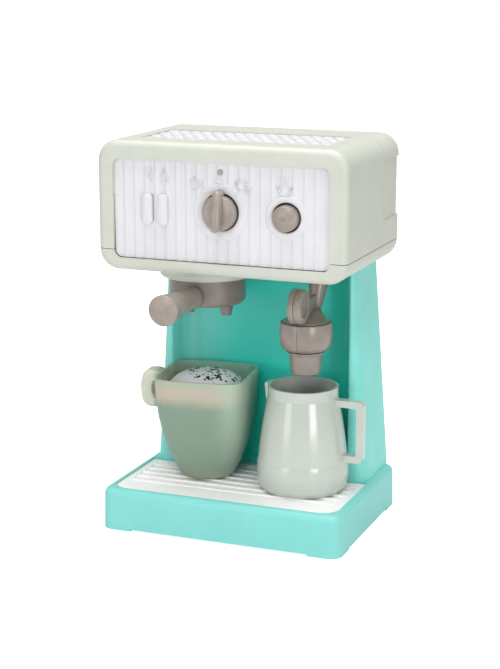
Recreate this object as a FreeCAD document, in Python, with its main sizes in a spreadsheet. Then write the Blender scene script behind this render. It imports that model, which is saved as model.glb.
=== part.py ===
import FreeCAD, Part
import os
import re
from Sketcher import Constraint

# Toy coffee maker, millimetres. X to the right, Y to the back, Z up.
# The origin lies on the table under the middle of the base.

SIZES = {
    # base, tray and column
    "base_width": 187.0,
    "base_depth": 140.0,
    "base_height": 31.5,
    "base_corner": 9.0,
    "base_edge": 5.0,
    "base_draft": 1.0,
    "foot_height": 1.5,
    "foot_length": 24.0,
    "wall": 2.4,
    "fit": 0.3,
    "tray_width": 175.0,
    "tray_front": -63.5,
    "tray_back": 29.5,
    "tray_corner": 13.0,
    "tray_top": 30.0,
    "tray_thick": 5.0,
    "tray_gap": 0.6,
    "pad_radius": 15.0,
    "rib_pitch": 10.0,
    "rib_width": 1.8,
    "rib_depth": 1.1,
    "rib_count": 7,
    "rib_margin": 5.0,
    "rib_field_front": -42.0,
    "rib_field_back": 27.0,
    "column_top_half": 74.0,
    "column_foot_half": 84.5,
    "column_flare": 3.5,
    "column_front": 14.0,
    "column_back": 66.5,
    "column_nose": 2.6,
    "recess_half": 71.0,
    "recess_foot": 39.5,
    "recess_top": 44.5,
    "recess_corner": 14.0,
    "recess_lip": 31.5,
    "recess_flare": 9.0,
    # head
    "head_half": 94.5,
    "head_front": -63.0,
    "head_back": 64.0,
    "head_bottom": 196.0,
    "head_top": 289.5,
    "head_corner": 15.0,
    "head_front_edge": 5.0,
    "head_back_edge": 9.0,
    "head_wall": 2.6,
    "frame_wall": 3.0,
    "seam_height": 211.0,
    "seam_gap": 0.5,
    "cover_split": 20.5,
    "grip_bottom": 229.0,
    "grip_top": 273.0,
    "grip_front": 24.5,
    "grip_depth": 1.3,
    "window_half": 82.0,
    "window_bottom": 205.0,
    "window_top": 277.0,
    "window_corner": 5.5,
    "panel_overlap": 4.0,
    "panel_thick": 2.4,
    "flute_pitch": 8.0,
    "flute_radius": 5.0,
    "flute_depth": 0.6,
    "flute_count": 20,
    "grille_half": 71.0,
    "grille_front": -39.0,
    "grille_back": 18.0,
    "grille_thick": 2.4,
    "grille_rows": 7,
    "grille_columns": 16,
    "slot_width": 2.6,
    "slot_length": 6.6,
    # controls
    "knob_height": 242.4,
    "knob_radius": 14.0,
    "knob_depth": 8.0,
    "knob_grip_width": 8.0,
    "knob_grip_length": 30.5,
    "knob_grip_rise": 8.0,
    "spindle_radius": 3.0,
    "shaft_clearance": 0.05,
    "dish_radius": 19.0,
    "dish_depth": 1.1,
    "detent_radius": 9.0,
    "button_x": 49.2,
    "button_z": 241.0,
    "button_radius": 10.25,
    "button_rise": 5.0,
    "button_travel": 3.0,
    "stem_radius": 3.0,
    "spring_radius": 5.2,
    "spring_wire": 1.0,
    "spring_turns": 3,
    "light_width": 5.0,
    "light_bottom": 231.5,
    "light_top": 252.3,
    "light_rise": 1.3,
    "temperature_x": -54.2,
    "water_x": -42.7,
    "lamp_z": 270.0,
    "lamp_radius": 2.0,
    # brewing group and filter holder
    "group_x": -35.5,
    "group_y": 0.0,
    "group_radius": 35.0,
    "group_drop": 11.2,
    "socket_radius": 23.0,
    "ledge_thick": 2.4,
    "lug_radius": 26.0,
    "lug_thick": 2.2,
    "lug_width": 12.0,
    "bowl_radius": 28.5,
    "bowl_bottom": 164.0,
    "bowl_wall": 2.5,
    "bowl_round": 4.0,
    "spout_offset": 15.1,
    "spout_radius": 5.6,
    "spout_drop": 9.4,
    "handle_height": 172.7,
    "handle_root": 8.2,
    "handle_end": 11.3,
    "handle_length": 50.0,
    "handle_dome": 5.0,
    # steam wand
    "wand_x": 43.6,
    "wand_y": -2.0,
    "wand_pivot_y": 31.0,
    "wand_pivot_radius": 5.5,
    "arm_radius": 8.2,
    "collar_radius": 19.5,
    "collar_bottom": 134.2,
    "collar_top": 155.3,
    "cone_top": 161.5,
    "cone_radius": 15.0,
    "disc_radius": 12.8,
    "disc_half": 5.0,
    "disc_y": -17.0,
    "disc_z": 169.5,
    "nozzle_radius": 12.2,
    "nozzle_bottom": 116.0,
    # cup and jug
    "cup_x": -35.5,
    "cup_y": -2.0,
    "cup_radius": 38.5,
    "cup_foot": 21.3,
    "cup_height": 78.5,
    "cup_wall": 2.2,
    "cup_ledge": 58.0,
    "cup_handle_reach": 52.2,
    "cup_handle_top": 78.0,
    "cup_handle_bottom": 45.0,
    "cup_handle_width": 14.0,
    "coffee_thick": 8.0,
    "foam_radius": 28.0,
    "foam_height": 11.0,
    "jug_x": 43.6,
    "jug_y": -7.0,
    "jug_radius": 33.4,
    "jug_neck": 26.2,
    "jug_height": 78.4,
    "jug_wall": 2.0,
    "jug_handle_reach": 47.5,
    "jug_handle_top": 70.0,
    "jug_handle_bottom": 23.5,
    "jug_handle_bar": 5.0,
    "jug_handle_width": 7.5,
    # fasteners
    "screw_head": 2.8,
    "screw_shank": 1.3,
    "boss_radius": 3.6,
}

doc = FreeCAD.newDocument("toy_coffee_maker")
sheet = doc.addObject("Spreadsheet::Sheet", "dim")
for row, (alias, size) in enumerate(SIZES.items(), start=1):
    sheet.set("A%d" % row, alias)
    sheet.set("B%d" % row, str(size))
    sheet.setAlias("B%d" % row, alias)
doc.recompute()

NAME = re.compile(r"\b[a-z][a-z_]*[a-z]\b")
UP = FreeCAD.Vector(0, 0, 1)
TURN_Y = FreeCAD.Rotation(FreeCAD.Vector(1, 0, 0), -90)
TURN_X = FreeCAD.Rotation(FreeCAD.Vector(0, 1, 0), 90)
TO_FRONT = FreeCAD.Rotation(FreeCAD.Vector(1, 0, 0), 90)
NODES = []


def formula(text):
    """Write a formula of sheet names as an expression."""
    return NAME.sub(lambda m: "dim." + m.group(0) if m.group(0) in SIZES else m.group(0), str(text))


def value(text):
    """Work out a formula of sheet names as a number."""
    result = sheet.evalExpression(formula(text))
    return float(getattr(result, "Value", result))


def bind(thing, **sizes):
    """Bind properties of an object to formulas of sheet names."""
    for name, text in sizes.items():
        setattr(thing, name, value(text))
        thing.setExpression(name, formula(text))
    return thing


def place(thing, x=0, y=0, z=0, turn=None):
    """Bind an object's place to formulas."""
    spot = FreeCAD.Vector(value(x), value(y), value(z))
    thing.Placement = FreeCAD.Placement(spot, turn or FreeCAD.Rotation())
    for axis, text in (("x", x), ("y", y), ("z", z)):
        thing.setExpression("Placement.Base." + axis, formula(text))
    return thing


def box(name, x, y, z):
    """A box between pairs of formulas on each axis."""
    thing = doc.addObject("Part::Box", name)
    sides = {"Length": x, "Width": y, "Height": z}
    bind(thing, **{side: "(%s) - (%s)" % (span[1], span[0]) for side, span in sides.items()})
    return place(thing, x[0], y[0], z[0])


def rod(name, radius, length, x, y, z, turn=None):
    """A cylinder that starts at a point and runs up, or along a turned axis."""
    thing = bind(doc.addObject("Part::Cylinder", name), Radius=radius, Height=length)
    return place(thing, x, y, z, turn)


def taper(name, radius, end_radius, length, x, y, z, turn=None):
    """A cone that starts at a point."""
    thing = doc.addObject("Part::Cone", name)
    bind(thing, Radius1=radius, Radius2=end_radius, Height=length)
    return place(thing, x, y, z, turn)


def fuse(name, *parts):
    """One solid out of several."""
    thing = doc.addObject("Part::MultiFuse", name)
    thing.Shapes = list(parts)
    thing.Refine = True
    return thing


def cut(name, base, *tools):
    """A solid less one or several tools."""
    thing = doc.addObject("Part::Cut", name)
    thing.Base = base
    thing.Tool = tools[0] if len(tools) == 1 else fuse(name + "_tools", *tools)
    return thing


def common(name, base, tool):
    """What two solids share."""
    thing = doc.addObject("Part::Common", name)
    thing.Base = base
    thing.Tool = tool
    return thing


def node(name, thing):
    """Mark a finished sub-part by its own name."""
    thing.Label = name
    NODES.append(thing)
    return thing


def plane_of(body, role):
    """The body's own origin plane of that role."""
    return next(item for item in body.Origin.OriginFeatures if item.Role == role)


def new_body(name):
    """An empty PartDesign body."""
    return doc.addObject("PartDesign::Body", name)


def new_sketch(body, name, role="XY_Plane", offset=0):
    """A sketch on an origin plane, moved along the plane's normal by a formula."""
    sketch = body.newObject("Sketcher::SketchObject", name)
    sketch.AttachmentSupport = [(plane_of(body, role), "")]
    sketch.MapMode = "FlatFace"
    sketch.AttachmentOffset = FreeCAD.Placement(FreeCAD.Vector(0, 0, value(offset)), FreeCAD.Rotation())
    sketch.setExpression("AttachmentOffset.Base.z", formula(offset))
    return sketch


def hold(sketch, kind, *args):
    """A driving dimension bound to its formula, the last argument."""
    *where, text = args
    index = sketch.addConstraint(Constraint(kind, *where, value(text)))
    sketch.setExpression("Constraints[%d]" % index, formula(text))


def outline(sketch, points):
    """A closed outline: pairs of formulas, with a third number as the bulge of the run that follows.

    A bulge is the height of the arc over its chord as a share of half the chord; it bends to the
    left of the way from one point to the next where it is above zero. The word "dome" stands for
    a bulge that ends on the upright axis with its centre on it.
    """
    spots = [FreeCAD.Vector(value(p[0]), value(p[1]), 0) for p in points]
    count = len(points)
    ends = []
    for index, point in enumerate(points):
        start, end = spots[index], spots[(index + 1) % count]
        bulge = point[2] if len(point) > 2 else 0
        if bulge == "dome":
            reach, rise = start.x - end.x, end.y - start.y
            bulge = -((reach ** 2 + rise ** 2) ** 0.5 - reach) / rise
        if bulge:
            middle = (start + end) * 0.5
            side = FreeCAD.Vector(start.y - end.y, end.x - start.x, 0) * 0.5
            first, last = (end, start) if bulge > 0 else (start, end)
            edge = sketch.addGeometry(Part.Arc(first, middle + side * bulge, last), False)
            ends.append((edge, 2, 1) if bulge > 0 else (edge, 1, 2))
        else:
            ends.append((sketch.addGeometry(Part.LineSegment(start, end), False), 1, 2))
    for index, (edge, first, last) in enumerate(ends):
        after = ends[(index + 1) % count]
        sketch.addConstraint(Constraint("Coincident", edge, last, after[0], after[1]))
        hold(sketch, "DistanceX", -1, 1, edge, first, points[index][0])
        hold(sketch, "DistanceY", -1, 1, edge, first, points[index][1])
        if len(points[index]) > 2 and points[index][2] == "dome":
            sketch.addConstraint(Constraint("PointOnObject", edge, 3, -2))
        elif len(points[index]) > 2 and points[index][2]:
            ahead = points[(index + 1) % count]
            chord = "sqrt(((%s) - (%s))^2 + ((%s) - (%s))^2)" % (
                ahead[0], points[index][0], ahead[1], points[index][1])
            bulge = abs(points[index][2])
            hold(sketch, "Radius", edge, "%s * %s" % (chord, (1 + bulge * bulge) / (4 * bulge)))


def rounded(sketch, x, y, corner):
    """A rectangle with round corners between pairs of formulas."""
    bulge = 0.41421356
    left, right, low, high = x[0], x[1], y[0], y[1]
    outline(sketch, [
        ("(%s) + (%s)" % (left, corner), low),
        ("(%s) - (%s)" % (right, corner), low, -bulge),
        (right, "(%s) + (%s)" % (low, corner)),
        (right, "(%s) - (%s)" % (high, corner), -bulge),
        ("(%s) - (%s)" % (right, corner), high),
        ("(%s) + (%s)" % (left, corner), high, -bulge),
        (left, "(%s) - (%s)" % (high, corner)),
        (left, "(%s) + (%s)" % (low, corner), -bulge),
    ])


def pad(body, sketch, length, reverse=False, both=False, draft=None):
    """A pad of a sketch by a formula."""
    feature = body.newObject("PartDesign::Pad", sketch.Name + "_pad")
    feature.Profile = sketch
    feature.Reversed = reverse
    feature.Midplane = both
    bind(feature, Length=length)
    if draft is not None:
        bind(feature, TaperAngle=draft)
    sketch.Visibility = False
    return feature


def soften(body, feature, radius, chosen):
    """Round the edges of a feature that a test picks out."""
    doc.recompute()
    edges = ["Edge%d" % (i + 1) for i, edge in enumerate(feature.Shape.Edges) if chosen(edge)]
    if not edges:
        raise RuntimeError("no edge to round on " + feature.Name)
    rounding = body.newObject("PartDesign::Fillet", feature.Name + "_round")
    rounding.Base = (feature, edges)
    bind(rounding, Radius=radius)
    return rounding


def slab(name, x, y, z, corner):
    """A plate with round upright corners."""
    body = new_body(name)
    sketch = new_sketch(body, name + "_plan", "XY_Plane", z[0])
    rounded(sketch, x, y, corner)
    pad(body, sketch, "(%s) - (%s)" % (z[1], z[0]))
    return body


def front_slab(name, x, z, y, corner):
    """A plate with its round-cornered outline in the front view."""
    body = new_body(name)
    sketch = new_sketch(body, name + "_front", "XZ_Plane", "-(%s)" % y[0])
    rounded(sketch, x, z, corner)
    pad(body, sketch, "(%s) - (%s)" % (y[1], y[0]), reverse=True)
    return body


def turned(name, points, x, y, z=0, along_y=False):
    """A solid turned about its axis from an outline of radius and height."""
    body = new_body(name)
    sketch = new_sketch(body, name + "_section", "XZ_Plane")
    outline(sketch, points)
    spin = body.newObject("PartDesign::Revolution", name + "_turn")
    spin.Profile = sketch
    spin.ReferenceAxis = (sketch, ["V_Axis"])
    spin.Angle = 360.0
    sketch.Visibility = False
    return place(body, x, y, z, TURN_Y if along_y else None)


def level(edge, height, tolerance=0.01):
    """True for an edge that lies at one height."""
    low, high = edge.BoundBox.ZMin, edge.BoundBox.ZMax
    return abs(low - height) < tolerance and abs(high - height) < tolerance


def clear_of_column(name, thing, reach):
    """Cut the rear corners off a tray shape, so that it lies between the column's flanks."""
    edge = "(recess_half - tray_gap - 0.4 + %s)" % reach
    behind = ("column_front - tray_gap + %s" % reach, "base_depth")
    left = box(name + "_left", ("-base_width", "-" + edge), behind, ("-1", "base_height + 9"))
    right = box(name + "_right", (edge, "base_width"), behind, ("-1", "base_height + 9"))
    return cut(name, thing, left, right)


# Base shell: a drafted, round-edged tray open below, standing on four corner feet
half = "base_width / 2"
depth = "base_depth / 2"
base_form = new_body("base_form")
base_plan = new_sketch(base_form, "base_plan", "XY_Plane", "foot_height")
rounded(base_plan, ("-base_width / 2", half), ("-base_depth / 2", depth), "base_corner")
base_pad = pad(base_form, base_plan, "base_height - foot_height", draft="-base_draft")
soften(base_form, base_pad, "base_edge", lambda edge: level(edge, value("base_height")))
feet_plan = slab("feet_plan", ("-base_width / 2", half), ("-base_depth / 2", depth),
                 (0, "foot_height"), "base_corner")
feet_between_x = box("feet_between_x", ("foot_length - base_width / 2", "base_width / 2 - foot_length"),
                     ("-base_depth", "base_depth"), (-1, "foot_height + 1"))
feet_between_y = box("feet_between_y", ("-base_width", "base_width"),
                     ("foot_length - base_depth / 2", "base_depth / 2 - foot_length"),
                     (-1, "foot_height + 1"))
feet = cut("feet", feet_plan, feet_between_x, feet_between_y)
inner_half = "(base_width / 2 - wall)"
inner_depth = "(base_depth / 2 - wall)"
well_floor = "(tray_top - tray_thick)"
base_room = slab("base_room", ("-" + inner_half, inner_half), ("-" + inner_depth, inner_depth),
                 (-1, well_floor + " - wall"), "base_corner - wall")
rear_room = slab("rear_room", ("wall - recess_half", "recess_half - wall"),
                 ("tray_back + 3 * wall", inner_depth + " - wall"),
                 (10, "base_height - wall"), "base_corner - wall")
well_block = slab("well_block", ("-tray_width / 2 - fit", "tray_width / 2 + fit"),
                  ("tray_front - fit", "tray_back + fit"),
                  (well_floor, "base_height + 5"), "tray_corner + fit")
tray_well = clear_of_column("tray_well", well_block, "fit")
base_screw_x = "(base_width / 2 - 16)"
base_screw_y = "(base_depth / 2 - 16)"
base_bosses = []
base_pilots = []
for side in (-1, 1):
    for end in (-1, 1):
        tag = "%s%s" % ("l" if side < 0 else "r", "f" if end < 0 else "b")
        at = ("%d * %s" % (side, base_screw_x), "%d * %s" % (end, base_screw_y))
        base_bosses.append(rod("base_boss_" + tag, "boss_radius", well_floor + " - foot_height - wall",
                               at[0], at[1], "foot_height + wall"))
        base_pilots.append(rod("base_pilot_" + tag, "screw_shank + 0.05", "12",
                               at[0], at[1], "foot_height + wall - 1"))
base_open = cut("base_open", fuse("base_solid", base_form, feet), base_room, rear_room, tray_well)
node("base_shell", cut("base_with_pilots", fuse("base_with_bosses", base_open, *base_bosses), *base_pilots))

# Bottom plate, screwed up into the bosses
plate_blank = slab("plate_blank", ("fit - " + inner_half, inner_half + " - fit"),
                   ("fit - " + inner_depth, inner_depth + " - fit"),
                   ("foot_height", "foot_height + wall"), "base_corner - wall - fit")
plate_holes = []
base_screws = []
for side in (-1, 1):
    for end in (-1, 1):
        tag = "%s%s" % ("l" if side < 0 else "r", "f" if end < 0 else "b")
        at = ("%d * %s" % (side, base_screw_x), "%d * %s" % (end, base_screw_y))
        plate_holes.append(taper("plate_sink_" + tag, "screw_head + 0.1", "screw_shank + 0.1", "1.6",
                                 at[0], at[1], "foot_height"))
        plate_holes.append(rod("plate_hole_" + tag, "screw_shank + 0.1", "wall + 2",
                               at[0], at[1], "foot_height - 1"))
        head = taper("base_screw_head_" + tag, "screw_head", "screw_shank", "1.5",
                     at[0], at[1], "foot_height")
        shank = rod("base_screw_shank_" + tag, "screw_shank", "11", at[0], at[1], "foot_height + 1")
        base_screws.append(fuse("base_screw_" + tag, head, shank))
plate_pad = rod("plate_pad", "pad_radius", "foot_height + 0.5", "0", "0", "0")
plate_drilled = cut("plate_drilled", plate_blank, *plate_holes)
node("base_bottom_plate", fuse("plate_padded", plate_drilled, plate_pad))
base_screw_group = doc.addObject("Part::Compound", "base_screw_group")
base_screw_group.Links = base_screws
node("base_screws", base_screw_group)

# Drip tray with a field of ribs between flat margins
tray_block = slab("tray_block", ("-tray_width / 2", "tray_width / 2"), ("tray_front", "tray_back"),
                  (well_floor, "tray_top"), "tray_corner")
field_block = slab("field_block", ("rib_margin - tray_width / 2", "tray_width / 2 - rib_margin"),
                   ("rib_field_front", "rib_field_back"), ("tray_top - rib_depth", "tray_top + 1"), "4")
under_block = slab("under_block", ("3 - tray_width / 2", "tray_width / 2 - 3"),
                   ("tray_front + 3", "tray_back - 3"),
                   (well_floor + " - 1", "tray_top - rib_depth - 1.8"), "tray_corner - 3")
tray_blank = clear_of_column("tray_blank", tray_block, "0")
rib_field = clear_of_column("rib_field", field_block, "-rib_margin")
tray_under = clear_of_column("tray_under", under_block, "-3")
ribs = []
for turn in range(int(value("rib_count"))):
    step = "rib_field_front + 6 + %d * rib_pitch" % turn
    ribs.append(box("tray_rib_%d" % turn, ("-tray_width / 2", "tray_width / 2"),
                    (step + " - rib_width / 2", step + " + rib_width / 2"),
                    ("tray_top - rib_depth - 1", "tray_top")))
rib_group = doc.addObject("Part::Compound", "rib_group")
rib_group.Links = ribs
tray_plain = cut("tray_plain", tray_blank, rib_field, tray_under)
node("drip_tray", fuse("tray_ribbed", tray_plain, common("ribs_trimmed", rib_group, rib_field)))


# Column: tapered housing with a deep recess, open at the back for its cover
def column_block(name, inset, back):
    """The column's tapered outer form, drawn in by an inset."""
    body = new_body(name)
    front = new_sketch(body, name + "_front", "XZ_Plane", "-(column_front + %s)" % inset)
    foot = "(column_foot_half - %s)" % inset
    outline(front, [
        ("-%s - column_flare" % foot, "base_height", 0.35),
        ("-%s" % foot, "base_height + 1.3 * column_flare"),
        ("%s - column_top_half" % inset, "head_bottom"),
        ("column_top_half - %s" % inset, "head_bottom"),
        (foot, "base_height + 1.3 * column_flare", 0.35),
        ("%s + column_flare" % foot, "base_height"),
    ])
    block = pad(body, front, "%s - column_front - %s" % (back, inset), reverse=True)
    if inset == "0":
        nose = value("column_front")
        soften(body, block, "column_nose", lambda edge: (
            edge.BoundBox.YMax < nose + 0.1 and edge.BoundBox.ZLength > 100))
    return body


def recess_block(name, inset):
    """What the recess takes away, grown by an inset."""
    lean = "20 * (recess_top - recess_foot) / (head_bottom - base_height)"
    body = new_body(name)
    side = new_sketch(body, name + "_side", "YZ_Plane")
    outline(side, [
        ("column_front - 20", "base_height - 20"),
        ("recess_foot + %s - %s" % (inset, lean), "base_height - 20"),
        ("recess_top + %s + %s" % (inset, lean), "head_bottom + 20"),
        ("column_front - 20", "head_bottom + 20"),
    ])
    block = pad(body, side, "2 * (recess_half + %s)" % inset, both=True)
    behind = value("recess_foot")
    soften(body, block, "recess_corner + %s" % inset, lambda edge: (
        edge.BoundBox.Center.y > behind and edge.BoundBox.ZLength > 100))
    return body


column_outer = cut("column_outer", column_block("column_body", "0", "column_back"),
                   recess_block("recess_body", "0"))
column_room = cut("column_room", column_block("column_inner", "wall", "(column_back + 5)"),
                  recess_block("recess_inner", "wall"))
column_room_band = box("column_room_band", ("-head_half", "head_half"), ("0", "column_back + 10"),
                       ("base_height + wall", "head_bottom - wall"))
column_screw_x = "(column_top_half - wall - 9)"
column_bosses = []
column_pilots = []
cover_holes = []
column_screws = []
for side in (-1, 1):
    for height, tag in (("base_height + 25", "low"), ("head_bottom - 25", "high")):
        mark = tag + ("_left" if side < 0 else "_right")
        x = "%d * %s" % (side, column_screw_x)
        column_bosses.append(rod("column_boss_" + mark, "boss_radius",
                                 "column_back - wall - recess_foot", x, "recess_foot", height, TURN_Y))
        column_pilots.append(rod("column_pilot_" + mark, "screw_shank + 0.05", "8",
                                 x, "column_back - wall - 7.9", height, TURN_Y))
        cover_holes.append(rod("cover_hole_" + mark, "screw_shank + 0.1", "20",
                               x, "column_back - 10", height, TURN_Y))
        cover_holes.append(rod("cover_sink_" + mark, "screw_head + 0.2", "10",
                               x, "column_back - 1.2", height, TURN_Y))
        head = rod("column_screw_head_" + mark, "screw_head", "1", x, "column_back - 1.2", height, TURN_Y)
        shank = rod("column_screw_shank_" + mark, "screw_shank", "8.5",
                    x, "column_back - 9.2", height, TURN_Y)
        column_screws.append(fuse("column_screw_" + mark, head, shank))
column_hollow = cut("column_hollow", column_outer, common("column_void", column_room, column_room_band))
column_fill = cut("column_fill", box("column_fill_box", ("-head_half", "head_half"),
                                     ("column_front", "column_back - wall"), ("base_height", "head_bottom")),
                  recess_block("recess_limit", "0.5"))
boss_group = doc.addObject("Part::Compound", "column_boss_group")
boss_group.Links = column_bosses
foot_bar = new_body("foot_bar")
foot_bar_side = new_sketch(foot_bar, "foot_bar_side", "YZ_Plane")
outline(foot_bar_side, [
    ("recess_lip", "base_height"),
    ("recess_foot + 1.5", "base_height"),
    ("recess_foot + 1.5", "base_height + recess_flare"),
    ("recess_foot + 0.5", "base_height + recess_flare", 0.4),
    ("recess_lip", "base_height + 0.4"),
])
pad(foot_bar, foot_bar_side, "2 * recess_half - 0.8", both=True)
column_boss_trim = common("column_boss_trim", boss_group, column_fill)
column_bossed = fuse("column_bossed", column_hollow, foot_bar, column_boss_trim)
node("column_front_shell", cut("column_drilled", column_bossed, *column_pilots))
cover_blank = new_body("cover_blank")
cover_face = new_sketch(cover_blank, "cover_face", "XZ_Plane", "wall - column_back")
cover_rise = "(column_foot_half - column_top_half) / (head_bottom - base_height - 1.3 * column_flare)"
cover_foot = "base_height + 1.3 * column_flare + 1"
outline(cover_face, [
    ("wall + fit - column_foot_half + column_flare * %s" % cover_rise, cover_foot),
    ("column_foot_half - wall - fit - column_flare * %s" % cover_rise, cover_foot),
    ("column_top_half - wall - fit + wall * %s" % cover_rise, "head_bottom - wall - fit"),
    ("wall + fit - column_top_half - wall * %s" % cover_rise, "head_bottom - wall - fit"),
])
pad(cover_blank, cover_face, "wall", reverse=True)
node("column_back_cover", cut("cover_drilled", cover_blank, *cover_holes))
column_screw_group = doc.addObject("Part::Compound", "column_screw_group")
column_screw_group.Links = column_screws
node("column_screws", column_screw_group)


# Head: three shells cut from one round-edged form
def head_form(name, inset, front, back, front_edge, back_edge):
    """The head's round-edged form, drawn in by an inset."""
    body = front_slab(name, ("%s - head_half" % inset, "head_half - %s" % inset),
                      ("head_bottom + %s" % inset, "head_top - %s" % inset),
                      (front, back), "head_corner - %s" % inset)
    block = body.Tip
    at_front, at_back = value(front), value(back)

    def around(place_y):
        return lambda edge: (abs(edge.BoundBox.YMin - place_y) < 0.01
                             and abs(edge.BoundBox.YMax - place_y) < 0.01)

    if front_edge:
        block = soften(body, block, front_edge, around(at_front))
    if back_edge:
        block = soften(body, block, back_edge, around(at_back))
    return body


head_solid = head_form("head_solid", "0", "head_front", "head_back", "head_front_edge", "head_back_edge")
head_room = head_form("head_room", "head_wall", "head_front + frame_wall", "head_back - head_wall",
                      None, "head_back_edge - head_wall")
window = front_slab("window", ("-window_half", "window_half"), ("window_bottom", "window_top"),
                    ("head_front - 5", "head_front + frame_wall + 1"), "window_corner")
head_shell = cut("head_shell", head_solid, head_room, window)
above_seam = box("above_seam", ("-2 * head_half", "2 * head_half"), ("2 * head_front", "cover_split"),
                 ("seam_height + seam_gap / 2", "head_top + 10"))
behind_split = box("behind_split", ("-2 * head_half", "2 * head_half"),
                   ("cover_split + 0.3", "2 * head_back"), ("seam_height + seam_gap / 2", "head_top + 10"))
below_seam = box("below_seam", ("-2 * head_half", "2 * head_half"), ("2 * head_front", "2 * head_back"),
                 ("head_bottom - 5", "seam_height - seam_gap / 2"))
grille_opening = slab("grille_opening", ("-grille_half", "grille_half"), ("grille_front", "grille_back"),
                      ("head_top - 10", "head_top + 5"), "3")
upper_front = common("upper_front", head_shell, above_seam)
node("head_upper_shell", cut("upper_opened", upper_front, grille_opening))

# Rear cover, with a shallow grip band round the sides and back
rear_part = common("rear_part", head_shell, behind_split)
grip_outer = box("grip_outer", ("-2 * head_half", "2 * head_half"), ("grip_front", "2 * head_back"),
                 ("grip_bottom", "grip_top"))
grip_core = head_form("grip_core", "grip_depth", "head_front", "head_back - grip_depth",
                      None, "head_back_edge - grip_depth")
grip_band = cut("grip_band", grip_outer, grip_core)
node("head_rear_cover", cut("rear_gripped", rear_part, grip_band))

# Lower pan, with the brewing group under it and a tongue inside the upper shell
pan_part = common("pan_part", head_shell, below_seam)
tongue_form = head_form("tongue_form", "(head_wall + 0.2)", "head_front + frame_wall + panel_thick + 0.6",
                        "head_back - head_wall - 0.2", None, "head_back_edge - head_wall")
tongue_room = head_form("tongue_room", "(head_wall + 1.6)", "head_front + 2",
                        "head_back - head_wall - 1.6", None, "head_back_edge - head_wall - 1.6")
tongue_band = box("tongue_band", ("-2 * head_half", "2 * head_half"), ("2 * head_front", "2 * head_back"),
                  ("seam_height - 4", "seam_height + 2"))
tongue_ring = common("tongue_ring", cut("tongue_hollow", tongue_form, tongue_room), tongue_band)
group_dish = turned("group_dish", [
    ("0", "head_bottom - group_drop"),
    ("group_radius - 1", "head_bottom - group_drop"),
    ("group_radius", "head_bottom - group_drop + 1"),
    ("group_radius", "head_bottom - group_drop + 4", -0.35),
    ("group_radius + 2.6", "head_bottom + 0.5"),
    ("group_radius + 2.6", "head_bottom + head_wall"),
    ("0", "head_bottom + head_wall"),
], "group_x", "group_y")
ledge = "(head_bottom - group_drop + ledge_thick)"
group_room = rod("group_room", "lug_radius + 3", "30", "group_x", "group_y", ledge)
group_mouth = rod("group_mouth", "socket_radius", "30", "group_x", "group_y", "head_bottom - group_drop - 5")
slot_bar = box("slot_bar", ("-lug_radius - fit", "lug_radius + fit"),
               ("-lug_width / 2 - fit", "lug_width / 2 + fit"), (-5, "ledge_thick + 1"))
slot_pin = rod("slot_pin", "3", "ledge_thick + 6", "0", "0", "-5")
lug_slot = fuse("lug_slot", slot_bar, slot_pin)
place(lug_slot, "group_x", "group_y", "head_bottom - group_drop", FreeCAD.Rotation(UP, -45))
pivot_hole = rod("pivot_hole", "wand_pivot_radius + shaft_clearance", "20",
                 "wand_x", "wand_pivot_y", "head_bottom - 5")
tongue_root_form = head_form("tongue_root_form", "(head_wall - 0.2)",
                             "head_front + frame_wall + panel_thick + 0.6", "head_back - head_wall + 0.2",
                             None, "head_back_edge - head_wall")
tongue_root_band = box("tongue_root_band", ("-2 * head_half", "2 * head_half"),
                       ("2 * head_front", "2 * head_back"),
                       ("seam_height - 4", "seam_height - seam_gap / 2"))
tongue_root = common("tongue_root", cut("tongue_root_ring", tongue_root_form, tongue_room), tongue_root_band)
pan_fused = fuse("pan_fused", pan_part, tongue_ring, tongue_root, group_dish)
node("head_lower_pan", cut("pan_opened", pan_fused, group_room, group_mouth, lug_slot, pivot_hole))

# Control panel: fluted plate behind the window, with dished holes for the controls
panel_front = "(head_front + frame_wall)"
panel_blank = front_slab("panel_blank",
                         ("-window_half - panel_overlap", "window_half + panel_overlap"),
                         ("window_bottom - panel_overlap", "window_top + panel_overlap"),
                         (panel_front, panel_front + " + panel_thick"), "window_corner + panel_overlap")
flutes = []
for index in range(int(value("flute_count"))):
    x = "(%d - (flute_count - 1) / 2) * flute_pitch" % index
    flutes.append(rod("flute_%d" % index, "flute_radius", "window_top - window_bottom + 10",
                      x, panel_front + " + flute_depth - flute_radius", "window_bottom - 5"))
flute_group = fuse("flute_group", *flutes)
flute_limit = front_slab("flute_limit", ("-window_half + 1", "window_half - 1"),
                         ("window_bottom - 1", "window_top - 2"),
                         (panel_front + " - 10", panel_front + " + 2"), "window_corner")
flute_cutters = common("flute_cutters", flute_group, flute_limit)
knob_dish = taper("knob_dish", "dish_radius + 1", "knob_radius + 1", "dish_depth + 1",
                  "0", panel_front + " - 1", "knob_height", TURN_Y)
button_dish = taper("button_dish", "button_radius + 5", "button_radius + 1.5", "dish_depth + 1",
                    "button_x", panel_front + " - 1", "button_z", TURN_Y)
knob_hole = rod("knob_hole", "spindle_radius + shaft_clearance", "20",
                "0", panel_front + " - 5", "knob_height", TURN_Y)
button_hole = rod("button_hole", "button_radius + 0.4", "20",
                  "button_x", panel_front + " - 5", "button_z", TURN_Y)


def pill(name, x, grow, y):
    """An upright pill shape across the panel."""
    width = "(light_width / 2 + %s)" % grow
    return front_slab(name, ("%s - %s" % (x, width), "%s + %s" % (x, width)),
                      ("light_bottom - %s" % grow, "light_top + %s" % grow), y, width + " - 0.01")


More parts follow.
